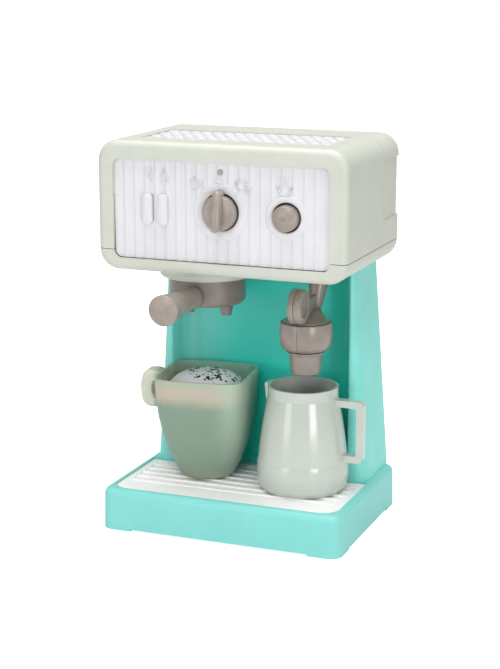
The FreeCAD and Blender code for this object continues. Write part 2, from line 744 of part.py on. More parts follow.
through_panel = (panel_front + " - 5", panel_front + " + 10")
temperature_hole = pill("temperature_hole", "temperature_x", "0.1", through_panel)
water_hole = pill("water_hole", "water_x", "0.1", through_panel)
lamp_hole = rod("lamp_hole", "lamp_radius + 0.1", "20", "0", panel_front + " - 5", "lamp_z", TURN_Y)
node("control_panel", cut("panel_opened", panel_blank, flute_cutters, knob_dish, button_dish, knob_hole,
                          button_hole, temperature_hole, water_hole, lamp_hole))
panel_back = "(head_front + frame_wall + panel_thick)"
for name, x in (("temperature_light", "temperature_x"), ("water_light", "water_x")):
    lens = pill(name + "_lens", x, "0", (panel_front + " - light_rise", panel_back + " + 0.5"))
    lens_face = value(panel_front + " - light_rise")
    soften(lens, lens.Tip, "1", lambda edge: edge.BoundBox.YMax < lens_face + 0.01)
    flange = pill(name + "_flange", x, "1.5", (panel_back, panel_back + " + 1.2"))
    node(name, fuse(name + "_whole", lens, flange))
lamp_head = rod("lamp_head", "lamp_radius", "panel_thick + 1.4",
                "0", panel_front + " - 0.6", "lamp_z", TURN_Y)
lamp_flange = rod("lamp_flange", "lamp_radius + 1.5", "1.2", "0", panel_back, "lamp_z", TURN_Y)
node("status_lamp", fuse("lamp_whole", lamp_head, lamp_flange))

# Cup-warmer grille: sunk plate with staggered slots
grille_top = "(head_top - head_wall)"
grille_blank = slab("grille_blank", ("-grille_half - 4", "grille_half + 4"),
                    ("grille_front - 4", "grille_back + 1.8"),
                    (grille_top + " - grille_thick", grille_top), "4")
slots = []
slot_pitch_x = "(2 * grille_half - 6) / grille_columns"
slot_pitch_y = "(grille_back - grille_front - 5) / grille_rows"
for row in range(int(value("grille_rows"))):
    for column in range(int(value("grille_columns"))):
        shift = 0.25 if row % 2 else -0.25
        x = "(%s - grille_columns / 2) * %s" % (column + 0.5 + shift, slot_pitch_x)
        y = "grille_front + 2.5 + %s * %s" % (row + 0.5, slot_pitch_y)
        slots.append(box("slot_%d_%d" % (row, column), (x + " - slot_length / 2", x + " + slot_length / 2"),
                         (y + " - slot_width / 2", y + " + slot_width / 2"),
                         (grille_top + " - 1.4", grille_top + " + 1")))
slot_group = doc.addObject("Part::Compound", "slot_group")
slot_group.Links = slots
node("cup_warmer_grille", cut("grille_slotted", grille_blank, slot_group))

# Selector: knob with a grip bar, spindle, detent wheel, click spring and screw
knob_back = panel_front + " + dish_depth - 0.4"
knob_disc = turned("knob_disc", [
    ("0", "0"),
    ("knob_radius", "0"),
    ("knob_radius", "knob_depth - 3", -0.3),
    ("knob_radius - 2.2", "knob_depth - 0.4"),
    ("0", "knob_depth"),
], "0", knob_back, "knob_height")
knob_disc.Placement = FreeCAD.Placement(knob_disc.Placement.Base, TO_FRONT)
grip = new_body("knob_grip")
grip_sketch = new_sketch(grip, "grip_face", "XZ_Plane", "-(%s - knob_depth - knob_grip_rise)" % knob_back)
rounded(grip_sketch, ("-knob_grip_width / 2", "knob_grip_width / 2"),
        ("knob_height - knob_grip_length / 2 - 0.3", "knob_height + knob_grip_length / 2 - 0.3"),
        "knob_grip_width / 2 - 0.05")
grip_pad = pad(grip, grip_sketch, "knob_depth + knob_grip_rise - 2.4", reverse=True)
grip_front = value(knob_back + " - knob_depth - knob_grip_rise")
soften(grip, grip_pad, "1.6", lambda edge: abs(edge.BoundBox.YMax - grip_front) < 0.01)
spindle_socket = rod("spindle_socket", "spindle_radius", "5.5",
                     "0", knob_back + " - 5", "knob_height", TURN_Y)
node("selector_knob", cut("knob_bored", fuse("knob_whole", knob_disc, grip), spindle_socket))
detent_place = "(head_front + frame_wall + panel_thick + 0.3)"
spindle = rod("spindle", "spindle_radius", detent_place + " + 4 - (" + knob_back + " - 5)",
              "0", knob_back + " - 5", "knob_height", TURN_Y)
spindle_pilot = rod("spindle_pilot", "screw_shank + 0.05", "7",
                    "0", detent_place + " - 2", "knob_height", TURN_Y)
node("selector_spindle", cut("spindle_drilled", spindle, spindle_pilot))
wheel_disc = rod("wheel_disc", "detent_radius", "4", "0", detent_place, "knob_height", TURN_Y)
notches = []
for index, angle in enumerate((-45, 0, 45)):
    notch = rod("detent_notch_%d" % index, "1.3", "10",
                "detent_radius * sin(%d)" % angle, detent_place + " - 1",
                "knob_height - (detent_radius + 0.4) * cos(%d)" % angle, TURN_Y)
    notches.append(notch)
wheel_bore = rod("wheel_bore", "spindle_radius", "10", "0", detent_place + " - 1", "knob_height", TURN_Y)
node("detent_wheel", cut("wheel_notched", wheel_disc, wheel_bore, *notches))
leaf = box("leaf_strip", ("-14", "14"), (detent_place, detent_place + " + 4"),
           ("knob_height - detent_radius - 2.8", "knob_height - detent_radius - 1.6"))
leaf_nib = rod("leaf_nib", "1.05", "4", "0", detent_place, "knob_height - detent_radius - 1.15", TURN_Y)
leaf_posts = [box("leaf_post_" + tag, (span[0], span[1]), (panel_back, detent_place + " + 4"),
                  ("knob_height - detent_radius - 5", "knob_height - detent_radius - 1.6"))
              for tag, span in (("left", ("-17", "-14")), ("right", ("14", "17")))]
node("detent_leaf", fuse("leaf_whole", leaf, leaf_nib, *leaf_posts))
selector_head = rod("selector_screw_head", "screw_head", "1.6",
                    "0", detent_place + " + 4", "knob_height", TURN_Y)
selector_shank = rod("selector_screw_shank", "screw_shank", "6",
                     "0", detent_place + " - 1.8", "knob_height", TURN_Y)
node("selector_screw", fuse("selector_screw_whole", selector_head, selector_shank))

# Steam button: domed cap on a stem, coil spring and guide behind the panel
cap_back = panel_front + " - button_rise + 5.6"
button_cap = turned("button_cap", [
    ("0", "0"),
    ("button_radius", "0"),
    ("button_radius", "5.6 - 2", -0.25),
    ("button_radius - 2", "5.6 + button_rise - 5", "dome"),
    ("0", "5.6 + button_rise - 3.4"),
], "button_x", cap_back, "button_z")
button_cap.Placement = FreeCAD.Placement(button_cap.Placement.Base, TO_FRONT)
guide_face = "(" + cap_back + " + 9)"
stem = rod("button_stem", "stem_radius", "14", "button_x", cap_back + " - 0.5", "button_z", TURN_Y)
node("steam_button", fuse("button_whole", button_cap, stem))
guide_plate = rod("guide_plate", "button_radius + 5", "2", "button_x", guide_face, "button_z", TURN_Y)
guide_tube = rod("guide_tube", "button_radius + 5", guide_face + " - " + panel_back,
                 "button_x", panel_back, "button_z", TURN_Y)
guide_room = rod("guide_room", "button_radius + 2.5", guide_face + " - " + panel_back + " + 0.01",
                 "button_x", panel_back + " - 0.01", "button_z", TURN_Y)
guide_bore = rod("guide_bore", "stem_radius + shaft_clearance", "20",
                 "button_x", guide_face + " - 5", "button_z", TURN_Y)
guide_whole = fuse("guide_whole", guide_plate, guide_tube)
node("button_guide", cut("guide_bored", guide_whole, guide_room, guide_bore))
spring_room = "(%s - (%s) - 0.2)" % (guide_face, cap_back)
coil = Part.makeHelix(value("(%s - spring_wire) / spring_turns" % spring_room),
                      value("%s - spring_wire" % spring_room), value("spring_radius"))
wire_start = FreeCAD.Vector(value("spring_radius"), 0, 0)
wire_section = Part.Wire(Part.makeCircle(value("spring_wire / 2"), wire_start, FreeCAD.Vector(0, 1, 0)))
spring = doc.addObject("Part::Feature", "spring_coil")
spring.Shape = Part.Wire(coil.Edges).makePipeShell([wire_section], True, True)
place(spring, "button_x", "%s + 0.1 + spring_wire / 2" % cap_back, "button_z", TURN_Y)
node("button_spring", spring)

# Filter holder: bowl with bayonet lugs, twin spouts and a long handle
bowl_top = "(head_bottom - group_drop - fit)"
bowl_turned = turned("bowl_turned", [
    ("0", "bowl_bottom"),
    ("bowl_radius - bowl_round", "bowl_bottom", -0.41421356),
    ("bowl_radius", "bowl_bottom + bowl_round"),
    ("bowl_radius", bowl_top),
    ("socket_radius - 0.5", bowl_top),
    ("socket_radius - 0.5", ledge + " + 0.2 + lug_thick"),
    ("socket_radius - 0.5 - bowl_wall", ledge + " + 0.2 + lug_thick"),
    ("socket_radius - 0.5 - bowl_wall", "bowl_bottom + bowl_wall"),
    ("0", "bowl_bottom + bowl_wall"),
], "group_x", "group_y")
lug_bar = box("lug_bar", ("-lug_radius", "lug_radius"),
              ("-lug_width / 2", "lug_width / 2"), ("0", "lug_thick"))
lug_limit = rod("lug_limit", "lug_radius", "lug_thick", "0", "0", "0")
lug_inside = rod("lug_inside", "socket_radius - 1.5", "lug_thick + 2", "0", "0", "-1")
lugs = cut("lugs", common("lugs_round", lug_bar, lug_limit), lug_inside)
place(lugs, "group_x", "group_y", ledge + " + 0.2")
bowl_neck = rod("bowl_neck", "handle_root + 0.8", "bowl_radius - 19",
                "group_x", "group_y - bowl_radius - 2", "handle_height", TURN_Y)
neck_room = rod("neck_room", "socket_radius - 0.5 - bowl_wall", "40", "group_x", "group_y",
                "bowl_bottom + bowl_wall")
node("portafilter_bowl", cut("bowl_cleared", fuse("bowl_whole", bowl_turned, lugs, bowl_neck), neck_room))
spouts = []
for side in (-1, 1):
    spouts.append(taper("spout_" + ("left" if side < 0 else "right"), "spout_radius - 1.8", "spout_radius",
                        "spout_drop", "group_x + %d * spout_offset" % side, "group_y",
                        "bowl_bottom - spout_drop"))
spout_bar = box("spout_bar", ("group_x - spout_offset", "group_x + spout_offset"),
                ("group_y - 3", "group_y + 3"), ("bowl_bottom - 2", "bowl_bottom"))
node("portafilter_spouts", fuse("spouts_whole", spout_bar, *spouts))
handle_start = "group_y - bowl_radius - 2"
handle = turned("handle_turned", [
    ("0", "0"),
    ("handle_root", "0"),
    ("handle_root - 0.6", "handle_length * 0.2"),
    ("handle_end", "handle_length", "dome"),
    ("0", "handle_length + handle_dome"),
], "group_x", handle_start, "handle_height")
handle.Placement = FreeCAD.Placement(handle.Placement.Base, FreeCAD.Rotation(FreeCAD.Vector(1, 0, 0), 90))
node("portafilter_handle", handle)

# Steam wand: two moulded halves meeting on the middle plane, with a nozzle
arm_top = "(head_bottom - fit)"
collar = turned("collar_turned", [
    ("0", "collar_bottom"),
    ("collar_radius - 4.8", "collar_bottom", -0.3),
    ("collar_radius - 0.8", "collar_bottom + 4.2", -0.12),
    ("collar_radius - 1.2", "collar_top - 0.8"),
    ("collar_radius - 2", "collar_top"),
    ("cone_radius", "collar_top"),
    ("arm_radius + 1.6", "cone_top"),
    ("0", "cone_top"),
], "wand_x", "wand_y")
nozzle_socket = rod("nozzle_socket", "10", "11", "wand_x", "wand_y", "collar_bottom - 1")
arm_rise = value("%s - 3 - cone_top" % arm_top)
arm_reach = value("wand_pivot_y - wand_y")
arm_path = doc.addObject("Part::Feature", "arm_path")
foot_point = FreeCAD.Vector(0, 0, 0)
top_point = FreeCAD.Vector(0, arm_reach, arm_rise)
bend = (arm_rise ** 2 + arm_reach ** 2) / (4 * arm_reach)
centre_low = FreeCAD.Vector(0, bend, 0)
middle = (foot_point + top_point) * 0.5
low_way = (foot_point + middle) * 0.5 - centre_low
low_arc = Part.Arc(foot_point, centre_low + low_way.normalize() * bend, middle)
centre_high = FreeCAD.Vector(0, arm_reach - bend, arm_rise)
high_way = (top_point + middle) * 0.5 - centre_high
high_arc = Part.Arc(middle, centre_high + high_way.normalize() * bend, top_point)
run_in = Part.LineSegment(FreeCAD.Vector(0, 0, -3), foot_point)
run_out = Part.LineSegment(top_point, top_point + FreeCAD.Vector(0, 0, 3))
path = Part.Wire([run_in.toShape(), low_arc.toShape(), high_arc.toShape(), run_out.toShape()])
arm_section = Part.Wire(Part.makeCircle(value("arm_radius"), FreeCAD.Vector(0, 0, -3), UP))
arm = doc.addObject("Part::Feature", "arm_pipe")
arm.Shape = path.makePipeShell([arm_section], True, False)
place(arm, "wand_x", "wand_y", "cone_top")
doc.removeObject("arm_path")
disc_soft = turned("disc_soft", [
    ("0", "0"),
    ("disc_radius - 1.8", "0", -0.41421356),
    ("disc_radius", "1.8"),
    ("disc_radius", "2 * disc_half - 1.8", -0.41421356),
    ("disc_radius - 1.8", "2 * disc_half"),
    ("0", "2 * disc_half"),
], "0", "0")
place(disc_soft, "wand_x - disc_half", "disc_y", "disc_z", TURN_X)
disc_ring_outer = rod("disc_ring_outer", "disc_radius - 3.6", "1.2",
                      "wand_x + disc_half - 1", "disc_y", "disc_z",
                      TURN_X)
disc_ring_inner = rod("disc_ring_inner", "disc_radius - 6.4", "3",
                      "wand_x + disc_half - 2", "disc_y", "disc_z",
                      TURN_X)
disc_recess = cut("disc_recess", disc_ring_outer, disc_ring_inner)
stub_top = "(head_bottom + head_wall + 1.85)"
pivot_stub = rod("pivot_stub", "wand_pivot_radius", stub_top + " - " + arm_top,
                 "wand_x", "wand_pivot_y", arm_top)
wand_solid = fuse("wand_solid", collar, arm, disc_soft, pivot_stub)
wand_whole = cut("wand_whole", wand_solid, nozzle_socket, disc_recess)
left_side = box("left_side", ("wand_x - 40", "wand_x"), ("wand_y - 60", "wand_pivot_y + 40"),
                ("collar_bottom - 10", "head_bottom + 30"))
right_side = box("right_side", ("wand_x", "wand_x + 40"), ("wand_y - 60", "wand_pivot_y + 40"),
                 ("collar_bottom - 10", "head_bottom + 30"))
wand_pilot = rod("wand_pilot", "screw_shank + 0.05", "10", "wand_x", "wand_pivot_y", stub_top + " - 9")
node("wand_left_half", cut("left_drilled", common("left_raw", wand_whole, left_side), wand_pilot))
node("wand_right_half", cut("right_drilled", common("right_raw", wand_whole, right_side), wand_pilot))
node("steam_nozzle", turned("nozzle_turned", [
    ("3", "nozzle_bottom"),
    ("nozzle_radius - 2.5", "nozzle_bottom", -0.41421356),
    ("nozzle_radius - 1", "nozzle_bottom + 1.5"),
    ("nozzle_radius", "collar_bottom - 2.2"),
    ("nozzle_radius + 0.7", "collar_bottom - 2.2"),
    ("nozzle_radius + 0.7", "collar_bottom"),
    ("9.95", "collar_bottom"),
    ("9.95", "collar_bottom + 8"),
    ("3", "collar_bottom + 8"),
], "wand_x", "wand_y"))
washer_height = "(head_bottom + head_wall + 0.2)"
washer_disc = rod("washer_disc", "wand_pivot_radius + 4.5", "1.6", "wand_x", "wand_pivot_y", washer_height)
washer_bore = rod("washer_bore", "wand_pivot_radius + 0.15", "5",
                  "wand_x", "wand_pivot_y", washer_height + " - 1")
node("wand_washer", cut("washer_bored", washer_disc, washer_bore))
wand_head = rod("wand_screw_head", "wand_pivot_radius + 1.5", "1.6", "wand_x", "wand_pivot_y",
                stub_top)
wand_shank = rod("wand_screw_shank", "screw_shank", "8", "wand_x", "wand_pivot_y", stub_top + " - 7.5")
node("wand_screw", fuse("wand_screw_whole", wand_head, wand_shank))

# Cup: frosted bowl-sided mug with an ear handle and a ledge for the coffee disc
cup_floor = "tray_top"
cup_rim = "(tray_top + cup_height)"
cup_turned = turned("cup_turned", [
    ("0", "0"),
    ("cup_foot - 1", "0"),
    ("cup_foot + 0.4", "1.4", -0.1),
    ("cup_radius - 5", "cup_height * 0.37", -0.1),
    ("cup_radius", "cup_height * 0.66"),
    ("cup_radius", "cup_height - 1", -0.41421356),
    ("cup_radius - 1", "cup_height"),
    ("cup_radius - cup_wall", "cup_height - 0.4"),
    ("cup_radius - cup_wall", "cup_ledge"),
    ("cup_radius - cup_wall - 1.4", "cup_ledge"),
    ("cup_radius - cup_wall - 1.4", "cup_height * 0.66", 0.1),
    ("cup_radius - 6.4 - cup_wall", "cup_height * 0.37", 0.1),
    ("cup_foot - cup_wall", "cup_wall + 0.4"),
    ("0", "cup_wall + 0.4"),
], "cup_x", "cup_y", cup_floor)
ear = new_body("cup_ear")
ear_face = new_sketch(ear, "ear_face", "XZ_Plane")
outline(ear_face, [
    ("1 - cup_radius", "cup_handle_bottom + 1"),
    ("1 - cup_radius", "cup_handle_top"),
    ("12 - cup_handle_reach", "cup_handle_top", -0.3),
    ("-cup_handle_reach", "cup_handle_top - 11"),
    ("2 - cup_handle_reach", "cup_handle_bottom + 12", -0.3),
])
pad(ear, ear_face, "cup_handle_width", both=True)
ear_hole = new_body("cup_ear_hole")
ear_hole_face = new_sketch(ear_hole, "ear_hole_face", "XZ_Plane")
rounded(ear_hole_face, ("7 - cup_handle_reach", "-cup_radius - 0.6"),
        ("cup_handle_bottom + 10", "cup_handle_top - 5"), "2.8")
pad(ear_hole, ear_hole_face, "3 * cup_handle_width", both=True)
place(ear, "cup_x", "cup_y", cup_floor)
place(ear_hole, "cup_x", "cup_y", cup_floor)
cup_inside = rod("cup_inside", "cup_radius - cup_wall", "40", "cup_x", "cup_y", "tray_top + cup_ledge - 18")
ear_trim = cut("ear_trim", ear, ear_hole, cup_inside)
node("cup", fuse("cup_whole", cup_turned, ear_trim))
coffee_seat = "(tray_top + cup_ledge)"
node("coffee_disc", turned("coffee_turned", [
    ("0", "0"),
    ("cup_radius - cup_wall - 1", "0"),
    ("cup_radius - cup_wall - 0.5", "1"),
    ("cup_radius - cup_wall - 0.5", "coffee_thick - 1"),
    ("cup_radius - cup_wall - 1.5", "coffee_thick"),
    ("0", "coffee_thick"),
], "cup_x", "cup_y", coffee_seat))
node("foam_top", turned("foam_turned", [
    ("0", "0"),
    ("foam_radius", "0"),
    ("foam_radius - 0.8", "foam_height - 3", -0.25),
    ("foam_radius - 4.5", "foam_height - 0.5", "dome"),
    ("0", "foam_height"),
], "cup_x", "cup_y", coffee_seat + " + coffee_thick"))

# Milk jug: tapered pitcher with a pouring lip on the left and a square handle on the right
jug_form = turned("jug_form", [
    ("0", "0"),
    ("jug_radius - 3.2", "0"),
    ("jug_radius - 0.4", "3.6", -0.12),
    ("jug_radius - 0.1", "jug_height * 0.3", -0.03),
    ("jug_neck", "jug_height * 0.9"),
    ("jug_neck", "jug_height"),
    ("jug_neck - jug_wall", "jug_height"),
    ("jug_neck - jug_wall", "jug_height * 0.9", 0.03),
    ("jug_radius - 0.1 - jug_wall", "jug_height * 0.3"),
    ("jug_radius - 0.4 - jug_wall", "5"),
    ("jug_radius - 4 - jug_wall", "jug_wall + 0.5"),
    ("0", "jug_wall + 0.5"),
], "jug_x", "jug_y", "tray_top")
lip = new_body("jug_lip")
lip_face = new_sketch(lip, "lip_face", "XZ_Plane")
outline(lip_face, [
    ("-jug_neck + 0.6", "jug_height * 0.78"),
    ("-jug_neck + 0.6", "jug_height"),
    ("-jug_neck - 2.6", "jug_height"),
    ("-jug_neck - 2.4", "jug_height - 1.5"),
    ("-jug_neck - 1.6", "jug_height * 0.87"),
])
pad(lip, lip_face, "9", both=True)
place(lip, "jug_x", "jug_y", "tray_top")
jug_ear = new_body("jug_ear")
jug_ear_face = new_sketch(jug_ear, "jug_ear_face", "XZ_Plane")
rounded(jug_ear_face, ("jug_neck - 4", "jug_handle_reach"), ("jug_handle_bottom", "jug_handle_top"), "4.5")
pad(jug_ear, jug_ear_face, "jug_handle_width", both=True)
jug_gap = new_body("jug_gap")
jug_gap_face = new_sketch(jug_gap, "jug_gap_face", "XZ_Plane")
rounded(jug_gap_face, ("jug_neck - 10", "jug_handle_reach - jug_handle_bar"),
        ("jug_handle_bottom + jug_handle_bar", "jug_handle_top - jug_handle_bar"), "2.2")
pad(jug_gap, jug_gap_face, "3 * jug_handle_width", both=True)
place(jug_ear, "jug_x", "jug_y", "tray_top")
place(jug_gap, "jug_x", "jug_y", "tray_top")
jug_core = turned("jug_core", [
    ("0", "5"),
    ("jug_radius - 0.4 - jug_wall / 2", "5"),
    ("jug_radius - 0.1 - jug_wall / 2", "jug_height * 0.3", -0.03),
    ("jug_neck - jug_wall / 2", "jug_height * 0.9"),
    ("jug_neck - jug_wall / 2", "jug_height + 5"),
    ("0", "jug_height + 5"),
], "jug_x", "jug_y", "tray_top")
jug_handle = cut("jug_handle", jug_ear, jug_gap, jug_core)
lip_trim = cut("lip_trim", lip, jug_core)
node("milk_jug", fuse("jug_whole", jug_form, jug_handle, lip_trim))

doc.recompute()
for thing in doc.Objects:
    if "Invalid" in thing.State or "Error" in thing.State:
        raise RuntimeError("%s did not build" % thing.Label)
os.makedirs("parts", exist_ok=True)
for thing in NODES:
    shape = thing.Shape
    if shape.isNull() or not shape.isValid() or not shape.Solids:
        raise RuntimeError("%s has no sound shape" % thing.Label)
    box_now = shape.BoundBox
    print("%-20s solids %d volume %9.1f  x %7.1f %7.1f  y %7.1f %7.1f  z %7.1f %7.1f" % (
        thing.Label, len(shape.Solids), shape.Volume, box_now.XMin, box_now.XMax,
        box_now.YMin, box_now.YMax, box_now.ZMin, box_now.ZMax))
    shape.exportStep("parts/%s.step" % thing.Label)
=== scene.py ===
"""Toy coffee maker: looks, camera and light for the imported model."""
import logging
from dataclasses import dataclass, field
from enum import Enum
from math import cos, radians, sin, tau

import bmesh
import bpy
from mathutils import Matrix, Vector


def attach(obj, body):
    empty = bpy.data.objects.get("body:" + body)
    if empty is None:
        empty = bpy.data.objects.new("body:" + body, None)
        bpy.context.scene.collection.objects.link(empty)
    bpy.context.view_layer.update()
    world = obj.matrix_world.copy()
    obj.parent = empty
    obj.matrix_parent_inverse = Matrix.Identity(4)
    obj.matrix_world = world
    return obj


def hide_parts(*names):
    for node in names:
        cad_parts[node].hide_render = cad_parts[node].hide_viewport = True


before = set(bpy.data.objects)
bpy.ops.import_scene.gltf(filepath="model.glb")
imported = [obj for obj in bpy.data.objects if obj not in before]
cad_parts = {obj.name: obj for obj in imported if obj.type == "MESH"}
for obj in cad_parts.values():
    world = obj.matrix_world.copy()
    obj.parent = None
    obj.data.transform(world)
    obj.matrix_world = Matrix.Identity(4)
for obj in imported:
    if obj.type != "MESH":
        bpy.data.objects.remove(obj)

Form = bmesh.types.BMesh
Material = bpy.types.Material
Socket = bpy.types.NodeSocket
Tree = bpy.types.NodeTree
Pair = tuple[float, float]
Spot = tuple[float, float, float]
Profile = tuple[Pair, ...]

LOG = logging.getLogger("toy_coffee_maker")
MM = 0.001
MERGE = 0.004 * MM  # points nearer than this are one
CLOUDS = {"From_Min": 0.35, "From_Max": 0.65}  # where most of a soft noise lies
GRAINS = {"From_Min": 0.3, "From_Max": 0.7}  # where most of a fine noise lies
MIX = {"data_type": "RGBA"}
TIMES = {"operation": "MULTIPLY"}
SMOOTH = {"interpolation_type": "SMOOTHSTEP"}
PEARL = (0.5, 0.02, 14.0)  # grain, bump and cloud of the pearl plastics
WHITE = (1.0, 1.0, 1.0, 1.0)
PANEL = -60.0  # the front of the control panel
VIEW_FROM = 21.5  # how far round to the right the mug was measured from, in degrees
MUG_PLACE: Pair = (-35.5, -2.0)


# Colours and nodes

def srgb(code: str) -> tuple[float, float, float, float]:
    """Turn an sRGB hex colour into linear light.

    Args:
        code: six hex digits.

    Returns:
        Linear red, green, blue and an alpha of one.
    """
    parts = [int(code[i:i + 2], 16) / 255 for i in (0, 2, 4)]
    linear = [c / 12.92 if c <= 0.04045 else ((c + 0.055) / 1.055) ** 2.4 for c in parts]
    return (linear[0], linear[1], linear[2], 1.0)


def metres(sides: tuple[float, ...]) -> list[float]:
    """Turn millimetres into metres."""
    return [side * MM for side in sides]


def add_node(tree: Tree, kind: str, settings: dict | None = None,
             **inputs: object) -> bpy.types.Node:
    """Add a shader node with its settings, values and links.

    Args:
        tree: the node tree.
        kind: the node's Blender type, without ShaderNode.
        settings: attributes of the node itself.
        inputs: values, sockets, or nodes whose first output is meant, by socket name with
            _ for a space, or by number as i0, i1.

    Returns:
        The new node.
    """
    node = tree.nodes.new("ShaderNode" + kind)
    for name, value in (settings or {}).items():
        setattr(node, name, value)
    for name, value in inputs.items():
        key = int(name[1:]) if name[0] == "i" and name[1:].isdigit() else name.replace("_", " ")
        socket = node.inputs[key]
        if isinstance(value, bpy.types.Node):
            value = value.outputs[0]
        if isinstance(value, Socket):
            tree.links.new(value, socket)
        else:
            socket.default_value = value
    return node


def blank(name: str) -> tuple[Material, Tree, Socket]:
    """Start an empty material.

    Args:
        name: the material's name.

    Returns:
        The material, its tree and its object coordinates.
    """
    material = bpy.data.materials.new(name)
    material.use_nodes = True
    tree = material.node_tree
    tree.nodes.clear()
    return material, tree, add_node(tree, "TexCoord").outputs["Object"]


# Finishes. The grain of a satin mould and the marks of turned steel are finer than the render
# shows, so they are drawn 0.5 to 1.2 mm wide. Scales are worked out from sizes in millimetres.

@dataclass(frozen=True)
class MouldedPlastic:
    """A moulded plastic finish with grain, faint flow marks and satin gloss."""

    name: str
    colour: str
    shade: str
    roughness: float = 0.38
    grain_mm: float = 0.8
    bump_mm: float = 0.012
    cloud_mm: float = 22.0
    coat: float = 0.0

    def build(self) -> Material:
        """Make the material: clouds in the colour, grain in the gloss and the relief.

        Returns:
            The material.
        """
        material, tree, place = blank(self.name)
        cloud = add_node(tree, "TexNoise", Vector=place, Scale=1 / (self.cloud_mm * MM),
                         Detail=3.0, Roughness=0.55)
        share = add_node(tree, "MapRange", Value=cloud, **CLOUDS)
        colour = add_node(tree, "Mix", MIX, Factor=share, i6=srgb(self.colour),
                          i7=srgb(self.shade))
        grain = add_node(tree, "TexNoise", Vector=place, Scale=1 / (self.grain_mm * MM),
                         Detail=2.0, Roughness=0.6)
        gloss = add_node(tree, "MapRange", Value=grain, **GRAINS,
                         To_Min=self.roughness - 0.04, To_Max=self.roughness + 0.05)
        bump = add_node(tree, "Bump", Height=self.relief(tree, place, grain),
                        Distance=self.bump_mm * MM, Strength=0.6)
        shader = add_node(tree, "BsdfPrincipled",
                          Base_Color=self.tone(tree, place, colour.outputs[2]),
                          Roughness=gloss, Normal=bump, IOR=1.53, Coat_Weight=self.coat,
                          Coat_Roughness=0.12)
        add_node(tree, "OutputMaterial", Surface=shader)
        return material

    def tone(self, tree: Tree, place: Socket, colour: Socket) -> Socket:
        """Return the colour unchanged; the recess plastic paints shade on it, the joined one a
        line.
        """
        return colour

    def relief(self, tree: Tree, place: Socket, height: bpy.types.Node) -> bpy.types.Node:
        """Return the grain's height unchanged; other plastics add grooves."""
        return height


@dataclass(frozen=True)
class RecessShadedPlastic(MouldedPlastic):
    """Satin plastic with painted shade and bounced light deep in the column's recess."""

    # colour of the painted shade and bounced teal light in the recess
    deep: str = "04EEDB"
    front_mm: float = 14.0
    back_mm: float = 40.0
    half_mm: float = 71.5
    fade_mm: float = -20.0
    shade_by_depth: Pair = (0.25, 0.85)
    shade_by_width: Pair = (0.2, 1.0)

    def tone(self, tree: Tree, place: Socket, colour: Socket) -> Socket:
        """Paint shade and bounced light between the side walls, more towards the back and the
        right.

        Args:
            tree: the material's nodes.
            place: the object coordinates.
            colour: the plain colour.

        Returns:
            The colour with the painted shade.
        """
        axes = add_node(tree, "SeparateXYZ", Vector=place).outputs
        edge = self.half_mm * MM
        side = add_node(tree, "Math", {"operation": "ABSOLUTE"}, i0=axes["X"])
        within = add_node(tree, "MapRange", Value=side, From_Min=edge, From_Max=edge + MM,
                          To_Min=1.0, To_Max=0.0)
        behind = add_node(tree, "MapRange", SMOOTH, Value=axes["Y"],
                          From_Min=self.front_mm * MM, From_Max=self.back_mm * MM,
                          To_Min=self.shade_by_depth[0], To_Max=self.shade_by_depth[1])
        across = add_node(tree, "MapRange", SMOOTH, Value=axes["X"], From_Min=-edge,
                          From_Max=self.fade_mm * MM, To_Min=self.shade_by_width[0],
                          To_Max=self.shade_by_width[1])
        depth = add_node(tree, "Math", TIMES, i0=across, i1=behind)
        share = add_node(tree, "Math", TIMES, i0=within, i1=depth)
        # paint the recess shade over the plain colour
        mixed = add_node(tree, "Mix", MIX, Factor=share, i6=colour, i7=srgb(self.deep))
        return mixed.outputs[2]


@dataclass(frozen=True)
class JoinedPlastic(MouldedPlastic):
    """Satin plastic of two halves, with a dark parting line on the plane where they meet."""

    plane_mm: float = 43.6
    line_mm: float = 0.22
    line: str = "4A433F"

    def tone(self, tree: Tree, place: Socket, colour: Socket) -> Socket:
        """Draw the parting line.

        Args:
            tree: the material's nodes.
            place: the object coordinates.
            colour: the plain colour.

        Returns:
            The colour with the line.
        """
        axes = add_node(tree, "SeparateXYZ", Vector=place).outputs
        on_line = add_node(tree, "Math", {"operation": "COMPARE"}, i0=axes["X"],
                           i1=self.plane_mm * MM, i2=self.line_mm * MM)
        mixed = add_node(tree, "Mix", MIX, Factor=on_line, i6=colour, i7=srgb(self.line))
        return mixed.outputs[2]


@dataclass(frozen=True)
class GrooveEndPlastic(MouldedPlastic):
    """Satin plastic of the handle, with two shallow crossing grooves on its end face."""

    centre_mm: Pair = (-35.5, 172.7)
    end_mm: float = -80.0
    groove_mm: float = 0.3
    sink: float = -8.0

    def relief(self, tree: Tree, place: Socket, height: bpy.types.Node) -> bpy.types.Node:
        """Sink the two grooves.

        Args:
            tree: the material's nodes.
            place: the object coordinates.
            height: the grain's height.

        Returns:
            The height with the grooves.
        """
        axes = add_node(tree, "SeparateXYZ", Vector=place).outputs
        on_end = add_node(tree, "Math", {"operation": "LESS_THAN"}, i0=axes["Y"],
                          i1=self.end_mm * MM)
        for axis, middle in zip("XZ", self.centre_mm):
            groove = add_node(tree, "Math", {"operation": "COMPARE"}, i0=axes[axis],
                              i1=middle * MM, i2=self.groove_mm * MM)
            both = add_node(tree, "Math", TIMES, i0=groove, i1=on_end)
            height = add_node(tree, "Math", {"operation": "MULTIPLY_ADD"}, i0=both,
                              i1=self.sink, i2=height)
        return height


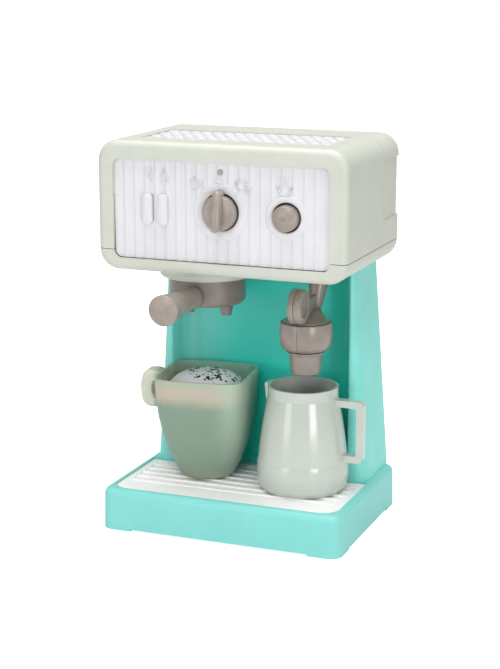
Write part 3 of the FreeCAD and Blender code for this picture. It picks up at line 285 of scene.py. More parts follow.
@dataclass(frozen=True)
class CupPlastic:
    """Frosted polypropylene of the mug: milky, with painted light and tints of what lies behind
    it.
    """

    name: str = "Polypropylene, sage, frosted"
    body: str = "9CB5A0"
    # painted tint of the caramel insert seen through the wall
    band: str = "DACFBE"
    rim: str = "C8D1BE"
    foot: str = "C8C6B2"
    # painted light through the ear
    ear: str = "EEEFDF"
    # painted light through the wall on the right side
    painted_light_right: str = "C6DDC8"
    # painted tint of the teal column seen through the back wall
    behind: str = "A4DCC8"
    roughness: float = 0.46
    grain_mm: float = 0.7143
    cloud_mm: float = 11.111
    sway_mm: float = 4.0
    height_mm: Pair = (30.0, 112.0)
    ear_mm: Pair = (-75.5, -72.5)
    rear_mm: Pair = (14.0, 34.0)
    right_mm: Pair = (-20.0, -2.0)

    def bands(self, tree: Tree, height: bpy.types.Node) -> bpy.types.Node:
        """Colour the foot, the body, the painted band of the insert behind the wall and the rim.

        Args:
            tree: the material's nodes.
            height: the share of the mug's height.

        Returns:
            The node that gives the colour.
        """
        ramp = add_node(tree, "ValToRGB", Fac=height)
        stops = ((0.0, self.foot), (0.14, self.body), (0.74, self.body), (0.84, self.band),
                 (0.92, self.band), (0.96, self.rim), (1.0, self.rim))
        elements = ramp.color_ramp.elements
        while len(elements) < len(stops):
            elements.new(0.5)
        for element, (spot, code) in zip(elements, stops):
            element.position = spot
            element.color = srgb(code)
        return ramp

    def build(self) -> Material:
        """Make the material: bands by height, painted lighter where light comes through the
        wall.

        Returns:
            The material.
        """
        material, tree, place = blank(self.name)
        axes = add_node(tree, "SeparateXYZ", Vector=place).outputs
        cloud = add_node(tree, "TexNoise", Vector=place, Scale=1 / (self.cloud_mm * MM),
                         Detail=3.0)
        sway = add_node(tree, "Math", {"operation": "MULTIPLY_ADD"}, i0=cloud,
                        i1=self.sway_mm * MM, i2=axes["Z"])
        height = add_node(tree, "MapRange", Value=sway, From_Min=self.height_mm[0] * MM,
                          From_Max=self.height_mm[1] * MM)
        tint = self.bands(tree, height).outputs["Color"]
        # paint light on the right, the teal seen behind the wall and light through the ear
        for axis, span, settings, low, high, code in (
                ("X", self.right_mm, SMOOTH, 0.0, 0.7, self.painted_light_right),
                ("Y", self.rear_mm, SMOOTH, 0.0, 0.75, self.behind),
                ("X", self.ear_mm, None, 1.0, 0.0, self.ear)):
            share = add_node(tree, "MapRange", settings, Value=axes[axis],
                             From_Min=span[0] * MM, From_Max=span[1] * MM, To_Min=low,
                             To_Max=high)
            tint = add_node(tree, "Mix", MIX, Factor=share, i6=tint, i7=srgb(code)).outputs[2]
        grain = add_node(tree, "TexNoise", Vector=place, Scale=1 / (self.grain_mm * MM),
                         Detail=2.0)
        gloss = add_node(tree, "MapRange", Value=grain, **GRAINS,
                         To_Min=self.roughness - 0.05, To_Max=self.roughness + 0.05)
        bump = add_node(tree, "Bump", Height=grain, Distance=0.02 * MM, Strength=0.5)
        shader = add_node(tree, "BsdfPrincipled", Base_Color=tint, Roughness=gloss,
                          Normal=bump, IOR=1.49, Transmission_Weight=0.3,
                          Subsurface_Weight=0.6, Subsurface_Radius=(0.005, 0.006, 0.005),
                          Subsurface_Scale=1.0)
        add_node(tree, "OutputMaterial", Surface=shader)
        return material


@dataclass(frozen=True)
class SpeckledFoam:
    """White moulded foam with dark cocoa specks over its right part."""

    name: str = "Moulded white foam, printed specks"
    white: str = "F4F5F8"
    cocoa: str = "141213"
    centre_mm: Spot = (-29.0, 0.0, 108.0)
    reach_mm: float = 21.5
    warp_mm: float = 2.2
    ripple_mm: float = 2.381
    cell_mm: float = 3.3333
    dent_mm: float = 4.1667
    sizes: Pair = (0.14, 0.68)  # share of a cell that a speck fills

    def build(self) -> Material:
        """Make the material: specks of uneven size and outline on soft white.

        Returns:
            The material.
        """
        material, tree, place = blank(self.name)
        warp = add_node(tree, "TexNoise", Vector=place, Scale=1 / (self.ripple_mm * MM),
                        Detail=1.0)
        moved = add_node(tree, "VectorMath", {"operation": "MULTIPLY_ADD"},
                         i0=warp.outputs["Color"], i1=[self.warp_mm * MM] * 3, i2=place)
        cell = add_node(tree, "TexVoronoi", {"feature": "F1"}, Vector=moved,
                        Scale=1 / (self.cell_mm * MM), Randomness=1.0)
        chance = add_node(tree, "SeparateColor", Color=cell.outputs["Color"])
        limit = add_node(tree, "MapRange", Value=chance, To_Min=self.sizes[0],
                         To_Max=self.sizes[1])
        speck = add_node(tree, "Math", {"operation": "LESS_THAN"}, i0=cell, i1=limit)
        away = add_node(tree, "VectorMath", {"operation": "DISTANCE"}, i0=place,
                        i1=metres(self.centre_mm))
        near = add_node(tree, "Math", {"operation": "LESS_THAN"}, i0=away.outputs["Value"],
                        i1=self.reach_mm * MM)
        share = add_node(tree, "Math", TIMES, i0=speck, i1=near)
        colour = add_node(tree, "Mix", MIX, Factor=share, i6=srgb(self.white),
                          i7=srgb(self.cocoa))
        dents = add_node(tree, "TexNoise", Vector=place, Scale=1 / (self.dent_mm * MM),
                         Detail=3.0)
        bump = add_node(tree, "Bump", Height=dents, Distance=0.3 * MM, Strength=0.5)
        shader = add_node(tree, "BsdfPrincipled", Base_Color=colour.outputs[2],
                          Roughness=0.55, Normal=bump, IOR=1.48)
        add_node(tree, "OutputMaterial", Surface=shader)
        return material


@dataclass(frozen=True)
class PlatedSteel:
    """Zinc-plated steel of the screws and the spring."""

    name: str = "Zinc-plated steel, turned"
    dark: str = "B9BABC"
    light: str = "CBCBC9"
    mark_mm: float = 0.5556

    def build(self) -> Material:
        """Make the material: fine turning marks in its colour, gloss and relief.

        Returns:
            The material.
        """
        material, tree, place = blank(self.name)
        marks = add_node(tree, "TexNoise", Vector=place, Scale=1 / (self.mark_mm * MM),
                         Detail=3.0)
        gloss = add_node(tree, "MapRange", Value=marks, **GRAINS, To_Min=0.28, To_Max=0.45)
        colour = add_node(tree, "Mix", MIX, Factor=marks, i6=srgb(self.dark),
                          i7=srgb(self.light))
        bump = add_node(tree, "Bump", Height=marks, Distance=0.02 * MM, Strength=0.4)
        shader = add_node(tree, "BsdfPrincipled", Base_Color=colour.outputs[2], Metallic=1.0,
                          Roughness=gloss, Normal=bump)
        add_node(tree, "OutputMaterial", Surface=shader)
        return material


class Stuff(Enum):
    """The finishes of the toy, by what they are made of and what they give the eye."""

    # Warm pale green with a broad soft highlight on the head's round edges.
    SAGE = MouldedPlastic("ABS, sage, fine satin", "C8CCC0", "C4C8BC", 0.42, coat=0.05)
    # Clear aqua, a little milky, with a soft sheen on the base.
    TEAL = MouldedPlastic("ABS, aqua, satin", "82D5CF", "7ED2CB", 0.40, coat=0.06)
    # The same aqua, painted a little lighter, with painted shade and bounce deep in the recess.
    TEAL_COLUMN_SHADED = RecessShadedPlastic("ABS, aqua, satin, painted recess shade", "84DFD6", "7CDACF", 0.40,
                                  coat=0.06)
    # Plain bright white that keeps the ribs readable.
    WHITE_TRAY = MouldedPlastic("Polypropylene, white, satin", "FDFDFC", "F9F9F8", 0.45)
    # Cool white with fine bright lines on the flutes.
    WHITE_PANEL = MouldedPlastic("ABS, white, polished mould", "DADADE", "D6D6DA", 0.30,
                                 coat=0.15)
    # Brown grey with a metallic shimmer in small clouds; darker on the bowl as painted shade.
    TAUPE_SHADED_BOWL = MouldedPlastic("ABS, pearl taupe, painted shade on bowl", "857C76", "79706B", 0.34, *PEARL, 0.15)
    TAUPE = MouldedPlastic("ABS, pearl taupe, satin", "A0958C", "91857D", 0.30, *PEARL, 0.3)
    # The same pearl, a little darker as painted shade, with the dark line where the wand's
    # halves meet.
    TAUPE_JOINED = JoinedPlastic("ABS, pearl taupe, two halves", "9A8E86", "8B8078", 0.30,
                                 *PEARL, 0.25)
    # The same pearl, drier, with a cross pressed in the handle's end.
    TAUPE_HANDLE = GrooveEndPlastic("ABS, pearl taupe, handle", "A0958C", "948981", 0.40, 0.5,
                                    0.03, 14.0, 0.05)
    # Painted shade: the dark of a narrow gap.
    SHADOW = MouldedPlastic("Painted shade, black, matt", "1B1918", "242120", 0.8)
    # Frosted wall with painted soft tints of what lies behind it and painted light through it.
    CUP = CupPlastic()
    # Milky caramel, quite dull, under the foam.
    COFFEE = MouldedPlastic("Polypropylene, caramel, matt", "D8C8B2", "CDBBA3", 0.55)
    # Bright soft white with sharp dark specks.
    FOAM = SpeckledFoam()
    # Pale glazed look with tall mirror streaks.
    JUG = MouldedPlastic("ABS, pale sage, high gloss", "C2C9C0", "BEC5BC", 0.16, 1.2,
                         0.004, 30.0, 0.4)
    # Ivory, dull and slightly uneven, on the hidden moving parts.
    NYLON = MouldedPlastic("Nylon, natural, moulded", "E4E1D8", "DAD6CB", 0.5)
    # Cold grey glints of turned metal.
    STEEL = PlatedSteel()


@dataclass
class Dresser:
    """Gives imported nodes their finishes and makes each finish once."""

    made: dict[Stuff, Material] = field(default_factory=dict)

    def material(self, stuff: Stuff) -> Material:
        """Find a finish's material.

        Args:
            stuff: the finish.

        Returns:
            The material, made once.
        """
        if stuff not in self.made:
            self.made[stuff] = stuff.value.build()
        return self.made[stuff]

    def dress(self, stuff: Stuff, *names: str) -> None:
        """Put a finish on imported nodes.

        Args:
            stuff: the finish.
            names: the nodes.
        """
        for name in names:
            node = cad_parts[name]
            node.data.materials.clear()
            node.data.materials.append(self.material(stuff))
        LOG.info("%s: %s", stuff.name.lower(), ", ".join(names))


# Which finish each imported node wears.
PACKED: dict[Stuff, tuple[str, ...]] = {
    Stuff.SAGE: ("head_upper_shell", "head_rear_cover", "head_lower_pan"),
    Stuff.TEAL: ("base_shell", "base_bottom_plate", "column_back_cover"),
    Stuff.TEAL_COLUMN_SHADED: ("column_front_shell",),
    Stuff.WHITE_TRAY: ("drip_tray", "cup_warmer_grille"),
    Stuff.WHITE_PANEL: ("control_panel", "temperature_light", "water_light"),
    Stuff.TAUPE: ("status_lamp", "selector_knob", "steam_button", "steam_nozzle"),
    Stuff.TAUPE_SHADED_BOWL: ("portafilter_bowl", "portafilter_spouts"),
    Stuff.TAUPE_JOINED: ("wand_left_half", "wand_right_half"),
    Stuff.TAUPE_HANDLE: ("portafilter_handle",),
    Stuff.CUP: ("cup",),
    Stuff.COFFEE: ("coffee_disc",),
    Stuff.FOAM: ("foam_top",),
    Stuff.JUG: ("milk_jug",),
    Stuff.NYLON: ("selector_spindle", "detent_wheel", "detent_leaf", "button_guide"),
    Stuff.STEEL: ("base_screws", "column_screws", "selector_screw", "button_spring",
                  "wand_washer", "wand_screw"),
}


# Forms

def quarter(steps: int) -> list[float]:
    """Return the angles of a quarter turn."""
    return [radians(k * 90 / steps) for k in range(steps + 1)]


def arc(centre: Pair, radius: float, start: float, end: float, steps: int) -> list[Pair]:
    """Lay points on an arc, from one angle in degrees to another in equal steps."""
    angles = [radians(start + (end - start) * k / steps) for k in range(steps + 1)]
    return [(centre[0] + radius * cos(a), centre[1] + radius * sin(a)) for a in angles]


def squareness(angle: float, power: float) -> float:
    """Return what a soft square's half width is divided by at an angle."""
    return (abs(cos(angle)) ** power + abs(sin(angle)) ** power) ** (1.0 / power)


def soft_square(reach: float, power: float, z: float, turn: float = 7.2,
                steps: int = 96) -> list[Spot]:
    """Draw a square outline with soft corners.

    Args:
        reach: half its width, seen from the front right.
        power: 2 for a circle, more for a squarer outline.
        z: its height.
        turn: how far it is turned, in degrees.
        steps: how many points it has.

    Returns:
        The points in millimetres.
    """
    dual = power / (power - 1.0)
    slant = radians(VIEW_FROM - turn)
    half = reach / (cos(slant) ** dual + sin(slant) ** dual) ** (1.0 / dual)
    points = []
    for k in range(steps):
        a = tau * k / steps
        far = half / squareness(a, power)
        points.append((far * cos(a + radians(turn)), far * sin(a + radians(turn)), z))
    return points


def shift(x: float, y: float, z: float = 0.0) -> Matrix:
    """Return a move in millimetres."""
    return Matrix.Translation((x * MM, y * MM, z * MM))


def forward(x: float, z: float, y: float = PANEL) -> Matrix:
    """Turn an upright form to point out of the front, with its foot at y."""
    return shift(x, y, z) @ Matrix.Rotation(radians(90), 4, "X")


def only(items: list, kind: type) -> list:
    """Return the items of one kind."""
    return [item for item in items if isinstance(item, kind)]


def ring_edges(form: Form, spots: list[bmesh.types.BMVert]) -> list[bmesh.types.BMEdge]:
    """Return the edges round a ring of points, made where they are missing."""
    pairs = [(spot, spots[(k + 1) % len(spots)]) for k, spot in enumerate(spots)]
    return [form.edges.get(pair) or form.edges.new(pair) for pair in pairs]


def lathe(profile: Profile | list[Pair], steps: int = 96) -> Form:
    """Spin an outline of radius and height round the upright axis.

    Args:
        profile: the outline in millimetres.
        steps: how many faces go round.

    Returns:
        The form.
    """
    form = bmesh.new()
    spots = [form.verts.new((radius * MM, 0.0, height * MM)) for radius, height in profile]
    edges = [form.edges.new(pair) for pair in zip(spots, spots[1:])]
    bmesh.ops.spin(form, geom=spots + edges, cent=(0, 0, 0), axis=(0, 0, 1), angle=tau,
                   steps=steps, use_merge=True)
    return form


def band(inner: float, outer: float, low: float, high: float) -> Form:
    """Make a flat ring between two radii and two heights."""
    return lathe([(inner, low), (outer, low), (outer, high), (inner, high), (inner, low)])


def block(size: Spot, centre: Spot, edge: float, segments: int) -> Form:
    """Make a box with round edges.

    Args:
        size: its sides in millimetres.
        centre: its middle.
        edge: the radius of its edges.
        segments: how many faces go round an edge.

    Returns:
        The form.
    """
    form = bmesh.new()
    bmesh.ops.create_cube(form, size=1.0)
    bmesh.ops.scale(form, vec=metres(size), verts=form.verts)
    bmesh.ops.bevel(form, geom=form.edges[:], offset=edge * MM, segments=segments, profile=0.5,
                    affect="EDGES", material=-1)
    bmesh.ops.translate(form, vec=metres(centre), verts=form.verts)
    return form


def tower(rings: list[list[Spot]]) -> Form:
    """Draw a closed outline up through its levels and fill its ends.

    Args:
        rings: the outline at each level in millimetres, all with as many points.

    Returns:
        The form.
    """
    form = bmesh.new()
    spots = [form.verts.new(metres(point)) for point in rings[0]]
    edges = ring_edges(form, spots)
    form.faces.new(spots)
    for ring in rings[1:]:
        drawn = bmesh.ops.extrude_edge_only(form, edges=edges)["geom"]
        order = {}
        for item in only(drawn, bmesh.types.BMVert):
            below = next(edge.other_vert(item) for edge in item.link_edges
                         if edge.other_vert(item) in spots)
            order[spots.index(below)] = item
        spots = [order[k] for k in range(len(ring))]
        for spot, point in zip(spots, ring):
            spot.co = metres(point)
        edges = ring_edges(form, spots)
    form.faces.new(spots)
    return form


def sweep(form: Form, path: list[Spot], thick: float, rounds: int, radii: tuple[float, ...] = (),
          closed: bool = False, flowing: bool = False, place: Matrix | None = None) -> None:
    """Draw a round section along a path and add it to a form.

    Args:
        form: the form that takes it.
        path: its points in millimetres.
        thick: the section's radius.
        rounds: how finely the section is cut.
        radii: the radius at each point, as a share of thick.
        closed: whether the path comes back to its start.
        flowing: whether the path is a smooth curve.
        place: where it goes.
    """
    curve = bpy.data.curves.new("path", "CURVE")
    curve.dimensions = "3D"
    curve.bevel_depth = thick * MM
    curve.bevel_resolution = rounds
    curve.use_fill_caps = True
    line = curve.splines.new("NURBS" if flowing else "POLY")
    line.points.add(len(path) - 1)
    for point, spot in zip(line.points, path):
        point.co = [*metres(spot), 1.0]
    for point, radius in zip(line.points, radii):
        point.radius = radius
    line.use_cyclic_u = closed
    if flowing:
        line.order_u = 4
        line.use_endpoint_u = True
        line.resolution_u = 8
    holder = bpy.data.objects.new("path", curve)
    mesh = bpy.data.meshes.new_from_object(holder)
    if place is not None:
        mesh.transform(place)
    form.from_mesh(mesh)
    bpy.data.objects.remove(holder)
    bpy.data.curves.remove(curve)
    bpy.data.meshes.remove(mesh)


def stand(name: str, data: bpy.types.ID) -> bpy.types.Object:
    """Make an object of its data and put it in the scene.

    Args:
        name: the object's name.
        data: its mesh, lamp or camera data.

    Returns:
        The object.
    """
    piece = bpy.data.objects.new(name, data)
    bpy.context.scene.collection.objects.link(piece)
    return piece


class Mould:
    """Collects the forms of one piece and makes them a Blender object at the origin."""

    def __init__(self, name: str) -> None:
        """Start an empty piece of this name."""
        self.name = name
        self.form = bmesh.new()

    def add(self, part: Form, place: Matrix | None = None) -> None:
        """Close a form, turn its faces outwards and add it.

        Args:
            part: the form, which is used up.
            place: where it goes.
        """
        bmesh.ops.remove_doubles(part, verts=part.verts, dist=MERGE)
        bmesh.ops.recalc_face_normals(part, faces=part.faces)
        data = bpy.data.meshes.new("form")
        part.to_mesh(data)
        part.free()
        if place is not None:
            data.transform(place)
        self.form.from_mesh(data)
        bpy.data.meshes.remove(data)

    def finish(self, dresser: Dresser, stuff: Stuff, body: str, slot: str, *replaced: str,
               crease: float = 32.0) -> None:
        """Make the object.

        Args:
            dresser: what holds the materials.
            stuff: its finish.
            body: the moving body it rides on.
            slot: its material slot in the record; not used.
            replaced: the nodes it stands for.
            crease: the angle in degrees above which an edge stays sharp.
        """
        data = bpy.data.meshes.new(self.name)
        self.form.to_mesh(data)
        self.form.free()
        data.shade_smooth()
        data.set_sharp_from_angle(angle=radians(crease))
        data.materials.append(dresser.material(stuff))
        piece = stand(self.name, data)
        if replaced:
            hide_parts(*replaced)
        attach(piece, body)
        LOG.info("%s: %d faces", self.name, len(data.polygons))


# Column, mug and drink

@dataclass
class ColumnShell:
    """Column: tapered shell with broad round noses and a deep recess with round corners."""

    foot_half: float = 87.0
    top_half: float = 75.0
    inner_foot: float = 81.9
    inner_top: float = 71.45
    inner_front: float = 47.5
    front: float = 14.0
    back: float = 66.5
    recess_half: float = 71.0
    wall_foot: float = 39.5
    wall_lean: float = 5.0
    flare: float = 8.0
    flare_high: float = 9.0
    nose: float = 10.0
    nose_deep: float = 11.0
    lip: float = 2.0
    corner: float = 14.0
    corner_foot: float = 2.5
    corner_low: float = 40.5
    corner_high: float = 26.0
    levels: tuple[float, ...] = (31.5, 32.3, 33.4, 35, 37.2, 40.5,
                                 *(43.1 + 2.6 * k for k in range(10)),
                                 92, 118, 144, 170, 196)

    def outline(self, z: float) -> list[Spot]:
        """Draw the shell's cut at one height.

        Args:
            z: the height.

        Returns:
            The points round the cut.
        """
        low, high = self.levels[0], self.levels[-1]
        share = (z - low) / (high - low)
        half = self.foot_half + (self.top_half - self.foot_half) * share
        inside = self.inner_foot + (self.inner_top - self.inner_foot) * share
        flare = self.flare * max(0.0, 1.0 - (z - low) / self.flare_high) ** 2
        wall = self.wall_foot + self.wall_lean * share - flare
        side, front, lip, deep = self.recess_half, self.front, self.lip, self.nose_deep
        nose = min(self.nose, half - side - lip)
        rise = min(1.0, max(0.0, (z - self.corner_low) / self.corner_high))
        gain = self.corner - self.corner_foot
        corner = self.corner_foot + gain * rise * rise * (3.0 - 2.0 * rise)
        right = [(half, self.back)]
        right += [(half - nose + nose * cos(a), front + deep - deep * sin(a))
                  for a in quarter(8)]
        right += [(side + lip - lip * sin(a), front + lip - lip * cos(a))
                  for a in quarter(3)[1:]]
        right += [(side - corner + corner * cos(a), wall - corner + corner * sin(a))
                  for a in quarter(9)]
        points = right + [(-x, y) for x, y in reversed(right)]
        points += [(-inside, self.back), (-inside, self.inner_front),
                   (inside, self.inner_front), (inside, self.back)]
        return [(x, y, z) for x, y in points]

    def build(self, dresser: Dresser) -> None:
        """Make the shell.

        Args:
            dresser: what holds the finishes.
        """
        mould = Mould("column_shell")
        mould.add(tower([self.outline(z) for z in self.levels]))
        mould.finish(dresser, Stuff.TEAL_COLUMN_SHADED, "machine", "teal_shell", "column_front_shell")


@dataclass
class Mug:
    """Mug with a soft-square mouth, a round foot and a broad ear."""

    centre: Pair = MUG_PLACE
    wall: float = 2.0
    turn: float = 7.2
    # Height, reach and squareness of each level, and of the floor inside.
    levels: tuple[Spot, ...] = (
        (30, 17.6, 2), (30.3, 18.8, 2), (31.2, 20, 2), (34, 22, 2),
        (40, 25.2, 2.05), (50, 29.4, 2.2), (60, 32.6, 2.5), (70, 35.1, 2.9),
        (80, 36.9, 3.4), (90, 37.9, 4), (100, 38.5, 4.7), (108.6, 38.8, 5.2),
        (109.5, 38.5, 5.2))
    floor: Spot = (33.2, 18.0, 2.0)
    # Place across and up, half width, half height and squareness of the ear and its opening.
    ear_loops: tuple[tuple[float, ...], ...] = ((-41, 95.6, 9.9, 14.6, 2.8),
                                                (-37.6, 95.4, 4.4, 7.4, 2.4))
    ear_half: float = 7.0
    ear_rim: float = 1.2
    ear_steps: int = 48
    rim_angle: float = 1.2  # edges that turn more than this, in radians, are rounded

    def ear(self) -> Form:
        """Make the flat ear with its opening and round rims.

        Returns:
            The form.
        """
        form = bmesh.new()
        loops = []
        for x, z, across, up, power in self.ear_loops:
            spots = []
            for k in range(self.ear_steps):
                a = tau * k / self.ear_steps
                far = 1.0 / squareness(a, power)
                spots.append(form.verts.new(metres((
                    x + across * far * cos(a), -self.ear_half,
                    z + up * far * sin(a)))))
            loops += ring_edges(form, spots)
        plate = bmesh.ops.bridge_loops(form, edges=loops)["faces"]
        drawn = bmesh.ops.extrude_face_region(form, geom=plate, use_keep_orig=True)["geom"]
        bmesh.ops.translate(form, vec=metres((0.0, 2 * self.ear_half, 0.0)),
                            verts=only(drawn, bmesh.types.BMVert))
        bmesh.ops.recalc_face_normals(form, faces=form.faces)
        rims = [edge for edge in form.edges
                if edge.is_manifold and edge.calc_face_angle() > self.rim_angle]
        bmesh.ops.bevel(form, geom=rims, offset=self.ear_rim * MM, segments=3, profile=0.5,
                        affect="EDGES", material=-1)
        return form

    def build(self, dresser: Dresser) -> None:
        """Make the mug.

        Args:
            dresser: what holds the finishes.
        """
        outer = [soft_square(reach, power, z, self.turn) for z, reach, power in self.levels]
        inner = [soft_square(reach - self.wall, power, z, self.turn)
                 for z, reach, power in reversed(self.levels) if self.floor[0] < z]
        z, reach, power = self.floor
        inner.append(soft_square(reach, power, z, self.turn))
        place = shift(*self.centre)
        mould = Mould("mug")
        mould.add(tower(outer + inner), place)
        mould.add(self.ear(), place @ Matrix.Rotation(radians(self.turn), 4, "Z"))
        mould.finish(dresser, Stuff.CUP, "cup", "frosted_cup", "cup")


@dataclass
class PretendDrink:
    """Caramel insert that lies in the mug, with a dome of pretend foam on it."""

    centre: Pair = MUG_PLACE
    # Reach, squareness and height of each level of the insert.
    levels: tuple[Spot, ...] = ((34.4, 3.9, 88), (35, 4, 88.6), (35.6, 4.5, 95.3),
                                (35, 4.5, 96))
    dome: Profile = (
        (0, 111.8), (7, 111.5), (13, 110.6), (18.5, 108.8), (23.5, 106.2), (27.6, 102.6),
        (30.6, 98.6), (31.2, 96.8), (30.6, 96), (0, 96))

    def build(self, dresser: Dresser) -> None:
        """Make the insert and the foam.

        Args:
            dresser: what holds the finishes.
        """
        place = shift(*self.centre)
        insert = Mould("drink_insert")
        insert.add(tower([soft_square(*level) for level in self.levels]), place)
        insert.finish(dresser, Stuff.COFFEE, "drink", "coffee", "coffee_disc")
        foam = Mould("foam_dome")
        foam.add(lathe(self.dome), place)
        foam.finish(dresser, Stuff.FOAM, "drink", "foam", "foam_top", crease=50.0)


# Controls on the head

@dataclass
class LightPill:
    """Upright pill of a light, with a soft raised edge."""

    name: str
    node: str
    x: float
    z: float = 241.4
    width: float = 7.2
    height: float = 22.6
    rise: float = 2.6
    foot: float = -59.6
    insets: Profile = ((0.9, 0.5), (0.7, -0.12), (0.8, 0.3))  # inwards and up

    def build(self, dresser: Dresser) -> None:
        """Make the pill.

        Args:
            dresser: what holds the finishes.
        """
        form = bmesh.new()
        bmesh.ops.create_circle(form, cap_ends=True, segments=48, radius=self.width / 2 * MM)
        reach = (self.height - self.width) / 2 * MM
        for spot in form.verts:
            spot.co.y += reach if spot.co.y > 0 else -reach
        drawn = bmesh.ops.extrude_face_region(form, geom=form.faces[:],
                                              use_keep_orig=True)["geom"]
        bmesh.ops.translate(form, vec=(0.0, 0.0, self.rise * MM),
                            verts=only(drawn, bmesh.types.BMVert))
        top = only(drawn, bmesh.types.BMFace)
        for inwards, up in self.insets:
            bmesh.ops.inset_region(form, faces=top, thickness=inwards * MM, depth=up * MM)
        mould = Mould(self.name)
        mould.add(form, forward(self.x, self.z, self.foot))
        mould.finish(dresser, Stuff.WHITE_PANEL, "machine", "white_lens", self.node, crease=60.0)


@dataclass
class SelectorKnob:
    """Round knob with a narrow grip bar that stands out above it."""

    height: float = 241.6
    radius: float = 12.6
    bar: Spot = (6.2, 29.0, 10.5)
    bar_middle: Spot = (0.0, 1.9, 7.4)
    bar_edge: float = 2.6
    slope_from: float = 6.0
    slope: float = 0.42
    foot_swell: float = 0.10

    def build(self, dresser: Dresser) -> None:
        """Make the knob.

        Args:
            dresser: what holds the finishes.
        """
        r = self.radius
        disc = [(0, -1), (r - 0.2, -1), (r, 3.4), (r - 0.3, 4.4), (r - 1, 5), (r - 2.2, 5.3),
                (6.5, 5), (0, 4.8)]
        mould = Mould("knob")
        mould.add(lathe(disc), forward(0.0, self.height))
        bar = block(self.bar, self.bar_middle, self.bar_edge, 4)
        for spot in bar.verts:
            lift = max(0.0, spot.co.y - self.slope_from * MM)
            spot.co.z -= self.slope * lift
            spot.co.x *= 1.0 + self.foot_swell * (spot.co.z < self.bar_middle[2] * MM)
        mould.add(bar, forward(0.0, self.height))
        mould.finish(dresser, Stuff.TAUPE, "selector", "taupe_plastic",
                     "selector_knob", crease=40.0)


@dataclass
class SteamButton:
    """Domed push button with a small dimple and its stem."""

    x: float = 49.2
    height: float = 240.6
    radius: float = 9.3

    def build(self, dresser: Dresser) -> None:
        """Make the button.

        Args:
            dresser: what holds the finishes.
        """
        r = self.radius
        profile = [(0, 5.9), (0.8, 5.95), (1.5, 6.3), (2, 6.45), (4, 6.3), (6.2, 5.8),
                   (r - 1.2, 5), (r - 0.5, 4.4), (r - 0.1, 3.6), (r, 2.6), (r, -1.8),
                   (3, -1.8), (3, -14), (0, -14)]
        mould = Mould("push_button")
        mould.add(lathe(profile, 80), forward(self.x, self.height))
        mould.finish(dresser, Stuff.TAUPE, "button", "taupe_plastic", "steam_button",
                     crease=40.0)


@dataclass
class DialSeats:
    """Smooth dished rings in the fluted panel round the knob and the button."""

    knob_spot: Pair = (0.0, 241.9)
    button_spot: Pair = (49.2, 240.8)
    knob_seat: Profile = (
        (13.5, -1), (13.6, -0.6), (14.1, -0.35), (17, -0.1), (19.4, 0.16), (20, 0.1),
        (20.3, -0.2), (20.4, -0.9), (13.5, -1.05), (13.5, -1))
    button_seat: Profile = (
        (10.5, -1), (10.6, -0.2), (11, 0.2), (11.8, 0.35), (14, 0.3), (15.2, 0.15),
        (15.6, -0.2), (15.7, -0.9), (10.5, -1.05), (10.5, -1))
    # Inner and outer radius, lower and upper face of the shadow gaps.
    knob_gap: tuple[float, ...] = (10.8, 13.7, -1.09, -1.04)
    button_gap: tuple[float, ...] = (9.6, 10.6, -2.2, -2.1)

    def build(self, dresser: Dresser) -> None:
        """Make the rings and the painted shadow in the gaps inside them.

        Args:
            dresser: what holds the finishes.
        """
        seats = Mould("dial_seats")
        seats.add(lathe(self.knob_seat), forward(*self.knob_spot))
        seats.add(lathe(self.button_seat), forward(*self.button_spot))
        seats.finish(dresser, Stuff.WHITE_PANEL, "machine", "white_panel", crease=50.0)
        # dark rings that paint the shade in the gaps round the knob and the button
        gaps = Mould("dial_gap_shade")
        gaps.add(band(*self.knob_gap), forward(*self.knob_spot))
        gaps.add(band(*self.button_gap), forward(*self.button_spot))
        gaps.finish(dresser, Stuff.SHADOW, "machine", "taupe_plastic")


@dataclass
class WindowShadeLine:
    """Painted shade in the joint between the window's edge and the panel, at the left and below.
    """

    half: float = 82.0
    low: float = 205.0
    top: float = 251.0
    corner: float = 5.5
    width: float = 0.42
    face: float = -60.05
    tip: float = 0.3  # how thin the ends are

    def build(self, dresser: Dresser) -> None:
        """Make the painted shade line.

        Args:
            dresser: what holds the finishes.
        """
        inner = self.half - self.corner
        path = [(-self.half, self.top)]
        path += arc((-inner, self.low + self.corner), self.corner, 180, 270, 8)
        path += arc((inner, self.low + self.corner), self.corner, 270, 330, 6)
        radii = (self.tip, *[1.0] * (len(path) - 2), self.tip)
        form = bmesh.new()
        sweep(form, [(x, self.face, z) for x, z in path], self.width, 2, radii)
        mould = Mould("window_gap_shade")
        mould.add(form)
        mould.finish(dresser, Stuff.SHADOW, "machine", "white_panel")


@dataclass
class WarmerGrille:
    """White plate in the top, with staggered raised bars."""

    half: float = 70.7
    front: float = -38.7
    back: float = 17.7
    rows: int = 7
    columns: int = 16
    flange: Spot = (150.0, 64.6, 2.4)
    flange_back: float = -1.1
    flange_z: float = 285.7
    plate_high: float = 2.6
    plate_z: float = 287.4
    bar: Spot = (7.3, 6.5, 1.6)
    bar_z: float = 288.4
    side_margin: float = 1.5
    end_margin: float = 1.0
    stagger: float = 0.25  # share of a column that the rows are moved by

    def build(self, dresser: Dresser) -> None:
        """Make the grille.

        Args:
            dresser: what holds the finishes.
        """
        depth = self.back - self.front
        middle = (self.front + self.back) / 2
        mould = Mould("warmer_grille")
        mould.add(block(self.flange, (0.0, middle + self.flange_back, self.flange_z), 0.3, 1))
        mould.add(block((2 * self.half, depth, self.plate_high), (0.0, middle, self.plate_z),
                        0.5, 2))
        step = (2 * self.half - 2 * self.side_margin) / self.columns
        for row in range(self.rows):
            y = self.front + self.end_margin
            y += (depth - 2 * self.end_margin) * (row + 0.5) / self.rows
            aside = self.stagger if row % 2 else -self.stagger
            for column in range(self.columns):
                x = (column + 0.5 - self.columns / 2 + aside) * step
                mould.add(block(self.bar, (x, y, self.bar_z), 0.45, 1))
        mould.finish(dresser, Stuff.WHITE_PANEL, "machine", "white_panel",
                     "cup_warmer_grille", crease=50.0)


